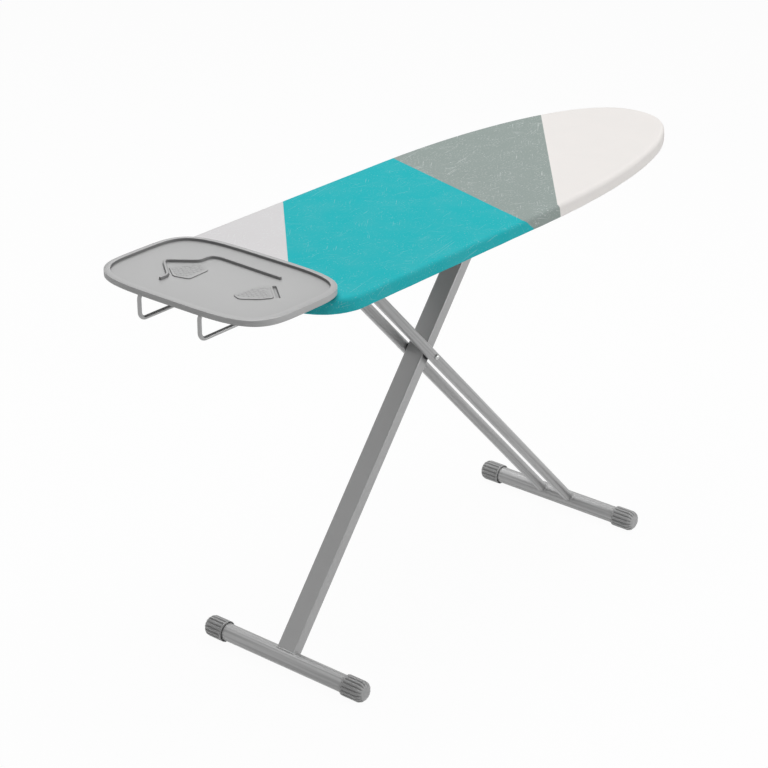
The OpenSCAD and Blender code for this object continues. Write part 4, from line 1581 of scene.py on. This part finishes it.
@dataclass
class Leg:
    """A straight tube that stands on a foot bar, with the weld round its foot."""

    foot: Spot
    run: float
    rise: float
    half_width: float
    half_depth: float
    corner: float
    bar: float = 17 * MM
    weld: float = 1.8 * MM
    steps: int = 40
    weld_columns: int = 14

    def axes(self) -> tuple[Array, Array]:
        """The direction up the tube, and the one square to it in the plane of the fold.

        Returns:
            Both directions, of length 1.
        """
        size = math.hypot(self.run, self.rise)
        along = np.array([self.run, 0, self.rise]) / size
        return along, np.array([-self.rise, 0, self.run]) / size

    def outline(self, inset: float = 0.0) -> Array:
        """The section (n, 2) across Y and through: four arcs, with flat ends of 0.4 mm.

        Args:
            inset: how far the whole section is drawn in.

        Returns:
            The section.
        """
        radius = self.corner - inset
        quarter = arc((0, 0), radius, 0, 90, 8)
        if self.corner < min(self.half_width, self.half_depth):
            quarter = np.concatenate([[(radius, -0.4 * MM)], quarter, [(-0.4 * MM, radius)]])
        offset = np.array((self.half_width, self.half_depth)) - self.corner
        parts = []
        for turn, sign in enumerate(((1, 1), (-1, 1), (-1, -1), (1, -1))):
            spin = np.array([[math.cos(turn * math.pi / 2), math.sin(turn * math.pi / 2)],
                             [-math.sin(turn * math.pi / 2), math.cos(turn * math.pi / 2)]])
            part = quarter @ spin + offset * sign
            parts.append(part if len(quarter) > 9 else part[:-1])
        return np.concatenate(parts)

    def at(self, section: Array, up: Array) -> Array:
        """Places in space: foot + section across and through + up along the tube.

        Args:
            section: places across Y and through the tube (..., 2).
            up: distances along the tube.

        Returns:
            The places (..., 3).
        """
        along, through = self.axes()
        return (np.array(self.foot) + section[..., :1] * np.array((0, 1, 0))
                + section[..., 1:] * through + np.asarray(up)[..., None] * along)

    def tube(self, name: str, body: Body, node: str, finish: bpy.types.Material) -> bpy.types.Object:
        """Draws the tube: from inside the bar, up to the plug in its upper end.

        Args:
            name: the piece's name.
            body: the body it rides on.
            node: the CAD tube that it replaces, whose box gives its upper end.
            finish: its coat.

        Returns:
            The tube.
        """
        along, _ = self.axes()
        slope = math.atan2(abs(along[2]), abs(along[0]))
        top = (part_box(node)[1].z - self.foot[2] - self.half_depth * math.cos(slope)) / math.sin(slope)
        outline, edge = self.outline(), self.outline(0.4 * MM)
        saddle = np.sqrt(self.bar ** 2 - outline[:, 1] ** 2) - 1 * MM
        full = np.full(len(outline), 1.0)
        rows = [self.at(0 * outline, 0 * full), self.at(outline, saddle)]
        rows += [self.at(outline, full * up) for up in np.linspace(22 * MM, top - 0.4 * MM, self.steps)]
        rows += [self.at(edge, full * top), self.at(0 * outline, full * top)]
        shell = Shell()
        shell.skin(np.stack(rows))
        return dress(body, shell.build(name, finish, 35), [node])

    def bead(self, name: str, body: Body, finish: bpy.types.Material) -> bpy.types.Object:
        """Runs a weld round the foot where the tube meets the bar: up = sqrt(bar^2 - through^2).

        Its round section of radius weld swells and shrinks by up to a sixth as it goes.

        Args:
            name: the piece's name.
            body: the body it rides on.
            finish: its coat.

        Returns:
            The weld.
        """
        outline = self.outline()
        loop = even(np.concatenate([outline, outline[:1]]), 1.2 * MM)[:-1]
        out = outwards(loop)
        middle = self.at(loop, np.sqrt(self.bar ** 2 - loop[:, 1] ** 2))
        along, through = self.axes()
        outward = out[:, :1] * np.array((0, 1, 0)) + out[:, 1:] * through
        place = np.arange(len(loop)) * TAU / len(loop)
        radius = self.weld * (1 + 0.10 * np.sin(23 * place) + 0.06 * np.sin(9 * place + 1))
        angle = np.linspace(0, TAU, self.weld_columns, endpoint=False)
        rows = (middle[:, None] + (radius[:, None] * np.cos(angle))[..., None] * outward[:, None]
                + (radius[:, None] * np.sin(angle))[..., None] * along)
        shell = Shell()
        shell.ring(rows)
        return dress(body, shell.build(name, finish), [])


@dataclass
class Fastener:
    """A turned fastener on an axis along Y: its profile comes from its CAD node's box."""

    shaft: float = 4 * MM
    columns: int = 48

    def bolt(self, name: str, node: str, head: float, body: Body,
             finish: bpy.types.Material) -> bpy.types.Object:
        """Turns a pin with a domed head of thickness head at its -Y end.

        The dome is r = R sin(a), h = 0.7 head (1 - cos(a)) from its tip, over a short rim.

        Args:
            name: the piece's name.
            node: the CAD fastener that it replaces, whose box gives its place.
            head: the head's thickness.
            body: the body it rides on.
            finish: its plating.

        Returns:
            The fastener.
        """
        low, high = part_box(node)
        radius, length = (high.x - low.x) / 2, high.y - low.y
        turn = np.radians((0, 15, 30, 45, 60, 75, 86))
        dome = 0.7 * head
        r = np.concatenate([
            (radius - 0.2 * MM) * np.sin(turn),
            [radius, radius, radius - 0.3 * MM, self.shaft, self.shaft, self.shaft - 0.6 * MM, 0]])
        h = np.concatenate([
            dome * (1 - np.cos(turn)),
            [dome + 0.2 * MM, head - 0.3 * MM, head, head, length - 0.6 * MM, length, length]])
        shell = Shell()
        centre = ((low.x + high.x) / 2, low.y, (low.z + high.z) / 2)
        shell.lathe(centre, (0, 1, 0), r, h, self.columns)
        return dress(body, shell.build(name, finish, 40), [node])

    def cap_nut(self, name: str, node: str, body: Body, finish: bpy.types.Material) -> bpy.types.Object:
        """Turns a domed nut whose dome points to +Y: a flange, a waist and r = R cos(a)^0.7.

        Args:
            name: the piece's name.
            node: the CAD fastener that it replaces, whose box gives its place.
            body: the body it rides on.
            finish: its plating.

        Returns:
            The nut.
        """
        low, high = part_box(node)
        radius, length = (high.x - low.x) / 2, high.y - low.y
        turn = np.radians((0, 20, 40, 58, 74, 90))
        r = np.concatenate([[0, radius - 0.3 * MM, radius, radius, radius - 0.8 * MM],
                            (radius - 1.0 * MM) * np.cos(turn) ** 0.7])
        h = np.concatenate([[0, 0, 0.3 * MM, 1.4 * MM, 1.8 * MM],
                            2.2 * MM + (length - 2.2 * MM) * np.sin(turn)])
        shell = Shell()
        shell.lathe(((low.x + high.x) / 2, low.y, (low.z + high.z) / 2), (0, 1, 0), r, h, self.columns)
        return dress(body, shell.build(name, finish, 40), [node])


@dataclass
class Stand:
    """The crossed legs with their foot bars, caps and pins."""

    foot_z: float = 20 * MM
    hinge: Spot = (0.1592, 0.0, 0.752)
    slide_x: float = -0.265
    tube_r: float = 10.5 * MM
    tube_y: float = 33.6 * MM
    flat_half: tuple[float, float] = (20.3 * MM, 11.8 * MM)
    flat_corner: float = 2.2 * MM
    bar_rows: int = 24
    bar_columns: int = 96
    cap: FootCap = field(default_factory=FootCap)
    turned: Fastener = field(default_factory=Fastener)

    def bar_x(self, row: str) -> float:
        """Where a foot bar's axis is."""
        low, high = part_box(f"{row}_foot_tube")
        return (low.x + high.x) / 2

    def flat_leg(self) -> Leg:
        """The flat leg, from the rear bar up to the hinge.

        Returns:
            The leg.
        """
        x = self.bar_x("rear")
        return Leg((x, 0, self.foot_z), self.hinge[0] - x, self.hinge[2] - self.foot_z,
                   *self.flat_half, self.flat_corner)

    def round_leg(self, side: Side) -> Leg:
        """A round leg, from the front bar up to the cross pin.

        Args:
            side: which of the two.

        Returns:
            The leg.
        """
        x = self.bar_x("front")
        return Leg((x, side.value * self.tube_y, self.foot_z), self.slide_x - x,
                   self.hinge[2] - self.foot_z, self.tube_r, self.tube_r, self.tube_r)

    def bar(self, row: str, body: Body, finish: bpy.types.Material) -> None:
        """Draws a foot bar: a round tube along Y whose ends stand in its caps.

        Args:
            row: which of the two bars, rear or front.
            body: the body it rides on.
            finish: its coat.
        """
        node = f"{row}_foot_tube"
        low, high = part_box(node)
        radius, wall, bevel = (high.z - low.z) / 2, 1.2 * MM, 0.3 * MM
        length = high.y - low.y
        skin = np.linspace(bevel, length - bevel, self.bar_rows)
        rim = (radius - wall, radius - bevel)
        radii = np.concatenate([rim, np.full(self.bar_rows, radius), rim[::-1]])
        heights = np.concatenate([(0, 0), skin, (length, length)])
        centre = ((low.x + high.x) / 2, low.y, (low.z + high.z) / 2)
        shell = Shell()
        numbers = shell.lathe(centre, (0, 1, 0), radii, heights, self.bar_columns)
        shell.join(numbers[[-1, 0]])
        dress(body, shell.build(f"{row}_foot_bar", finish), [node])

    def build(self, finishes: "Finishes") -> None:
        """Draws the legs, welds them, moulds the caps, turns the pivot and coats the rest.

        Args:
            finishes: the materials.
        """
        self.flat_leg().tube("flat_leg_tube", Body.FLAT_LEG, "main_leg", finishes.flat_leg)
        self.flat_leg().bead("rear_weld", Body.FLAT_LEG, finishes.bar)
        for side in Side:
            leg, name = self.round_leg(side), side.name.lower()
            leg.tube(f"round_leg_{name}", Body.ROUND_LEGS, f"leg_tube_{name}", finishes.leg)
            leg.bead(f"front_weld_{name}", Body.ROUND_LEGS, finishes.bar)
        for row, body in (("rear", Body.FLAT_LEG), ("front", Body.ROUND_LEGS)):
            self.bar(row, body, finishes.bar)
            for side in Side:
                node = f"{row}_cap_{side.name.lower()}"
                self.cap.make(f"{node}_moulding", node, side, body, finishes.foot)
        nut_low, nut_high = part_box("pivot_nut")
        head = nut_high.y - nut_low.y
        self.turned.bolt("domed_pivot_bolt", "pivot_bolt", head, Body.FLAT_LEG, finishes.zinc)
        self.turned.cap_nut("domed_pivot_nut", "pivot_nut", Body.FLAT_LEG, finishes.zinc)
        self.turned.bolt("domed_hinge_pin", "hinge_pin", head, Body.BOARD, finishes.zinc)
        self.turned.cap_nut("domed_hinge_nut", "hinge_nut", Body.BOARD, finishes.zinc)
        coat_nodes(finishes.dark, "leg_plug", "pivot_washers", "tube_plugs", "pin_glides")
        coat_nodes(finishes.zinc, "cross_pin", "pin_clips")


@dataclass
class HeightLock:
    """The notched lever, its grip and its spring."""

    def build(self, finishes: "Finishes") -> None:
        """Coats the lock's pieces."""
        coat_nodes(finishes.zinc, "release_lever", "lever_spring")
        coat_nodes(finishes.dark, "lever_grip")


# ----------------------------------------------------------------- the studio


@dataclass
class Lamp:
    """A soft square lamp that looks at a place."""

    name: str
    place: Spot
    aim: Spot
    size: float
    watts: float

    def build(self) -> None:
        """Hangs the lamp."""
        data = bpy.data.lights.new(self.name, "AREA")
        data.shape, data.size, data.energy = "SQUARE", self.size, self.watts
        lamp = bpy.data.objects.new(self.name, data)
        bpy.context.scene.collection.objects.link(lamp)
        lamp.location = self.place
        lamp.visible_camera = False
        away = np.array(self.place) - np.array(self.aim)
        lamp.rotation_mode = "QUATERNION"
        lamp.rotation_quaternion = Vector(away).to_track_quat("Z", "Y")


@dataclass
class Studio:
    """A pale floor, soft lamps and the camera."""

    aim: Spot = (0.0, 0.110, 0.398)
    distance: float = 4.504
    azimuth: float = -50.24
    elevation: float = 24.5
    lens: float = 109.24
    sensor: float = 36.0
    floor_half: float = 14.0
    floor_z: float = -0.0006
    sky: float = 0.10
    white: float = 0.96
    lamps: tuple = (Lamp("overhead", (0.1, 0.1, 4.2), (0, 0, 0.5), 4.0, 124.0),
                    Lamp("key", (1.2, -3.6, 1.6), (0, 0, 0.5), 2.0, 50.0),
                    Lamp("back", (1.9, 2.7, 3.3), (0, 0, 0.3), 1.3, 18.0))

    def floor(self) -> None:
        """Lays the floor: white to camera and gloss but for a faint shadow, and clear from below."""
        graph = Graph.material("studio_floor")
        seen = graph.seen()
        grain = graph.noise(graph.spot(), 0.02, 2.0)
        paper = graph.add("ShaderNodeBsdfPrincipled", values={
            "Base Color": srgb(246, 246, 246), "Roughness": grain * 0.05 + 0.85})
        white = graph.add("ShaderNodeEmission", values={"Color": (1.0, 1.0, 1.0), "Strength": 1.0})
        mixed = graph.add("ShaderNodeMixShader", values={0: seen * self.white, 1: paper, 2: white})
        clear = graph.add("ShaderNodeBsdfTransparent")
        below = graph.add("ShaderNodeNewGeometry", output="Backfacing")
        sheet = graph.add("ShaderNodeMixShader", values={0: below, 1: mixed, 2: clear})
        graph.add("ShaderNodeOutputMaterial", values={"Surface": sheet})
        half = self.floor_half
        shell = Shell()
        side = np.linspace(-half, half, 3)
        x, y = np.meshgrid(side, side)
        shell.skin(np.stack([x, y, np.full(x.shape, self.floor_z)], -1), wrap=False, flip=True)
        sheet = shell.build("studio_floor", graph.owner, closed=False)

    def world(self) -> None:
        """Lights the room evenly; the camera and gloss see plain white."""
        graph = Graph(bpy.data.worlds.new("studio"))
        bpy.context.scene.world = graph.owner
        strength = graph.seen() * (1 - self.sky) + self.sky
        light = graph.add("ShaderNodeBackground", values={
            "Color": (1.0, 1.0, 1.0), "Strength": strength})
        graph.add("ShaderNodeOutputWorld", values={"Surface": light})

    def camera(self) -> None:
        """Sets the camera at its distance from the aim, by azimuth and elevation."""
        data = bpy.data.cameras.new("camera")
        data.lens, data.sensor_width = self.lens, self.sensor
        camera = bpy.data.objects.new("camera", data)
        bpy.context.scene.collection.objects.link(camera)
        a, e = math.radians(self.azimuth), math.radians(self.elevation)
        back = Vector((math.sin(a) * math.cos(e), -math.cos(a) * math.cos(e), math.sin(e)))
        camera.location = Vector(self.aim) + back * self.distance
        camera.rotation_mode = "QUATERNION"
        camera.rotation_quaternion = (-back).to_track_quat("-Z", "Y")
        data.clip_start, data.clip_end = 0.05, 100.0
        bpy.context.scene.camera = camera

    def build(self) -> None:
        """Sets up the whole studio."""
        bpy.context.scene.view_settings.view_transform = "Standard"
        self.camera()
        self.world()
        self.floor()
        for lamp in self.lamps:
            lamp.build()


# ------------------------------------------------------------------ the whole


@dataclass
class Finishes:
    """Every finish of the board, made once."""

    cotton: bpy.types.Material
    felt: bpy.types.Material
    deck: bpy.types.Material
    leg: bpy.types.Material
    bar: bpy.types.Material
    flat_leg: bpy.types.Material
    tray: bpy.types.Material
    wire: bpy.types.Material
    zinc: bpy.types.Material
    foot: bpy.types.Material
    dark: bpy.types.Material

    @classmethod
    def make(cls, stand: Stand) -> "Finishes":
        """Makes them all.

        Args:
            stand: the stand, whose legs the paint follows.

        Returns:
            The finishes.
        """
        silver = srgb(170, 170, 170)
        leg, tube = stand.flat_leg(), stand.round_leg(Side.LEFT)
        edges = LegFrame(leg.foot, math.atan2(leg.rise, leg.run), leg.half_width, leg.half_depth)
        return cls(
            cotton=CottonPrint().make(),
            felt=Felt().make(),
            deck=PowderCoat("deck_powder_coat", silver).make(),
            leg=PowderCoat("leg_powder_coat", silver,
                            drawn=(0, -math.atan2(tube.rise, tube.run), 0)).make(),
            bar=PowderCoat("foot_bar_powder_coat", srgb(181, 181, 181), 0.5, 0.44,
                           drawn=(0, 0, math.pi / 2), gloss=0.0, peel=0.0004 * MM).make(),
            flat_leg=PowderCoat("flat_leg_powder_coat", silver, leg=edges).make(),
            # the tray's painted shade darkens its walls and flanks towards black by 0.52
            tray=PowderCoat("tray_powder_coat", srgb(160, 160, 160), 0.22, 0.50, painted_shading=0.52,
                            gloss=0.0).make(),
            wire=PowderCoat("wire_powder_coat", srgb(162, 162, 162), 0.7, 0.30).make(),
            zinc=ZincPlate().make(),
            # the caps' plastic takes painted shade of 0.55 in its grooves
            foot=MouldedPlastic("foot_cap_plastic", srgb(180, 180, 180), 0.34, 0.6, 0.55).make(),
            dark=MouldedPlastic("black_plastic", srgb(58, 58, 60)).make())


def main() -> None:
    """Builds the studio, then the ironing board from the top down."""
    logging.basicConfig(level=logging.INFO, format="%(name)s: %(message)s")
    Studio().build()
    stand = Stand()
    finishes = Finishes.make(stand)
    for part in (Board(), IronRest(), HeightLock(), stand):
        LOG.info("building %s", type(part).__name__)
        part.build(finishes)


if __name__ == "__main__":
    main()
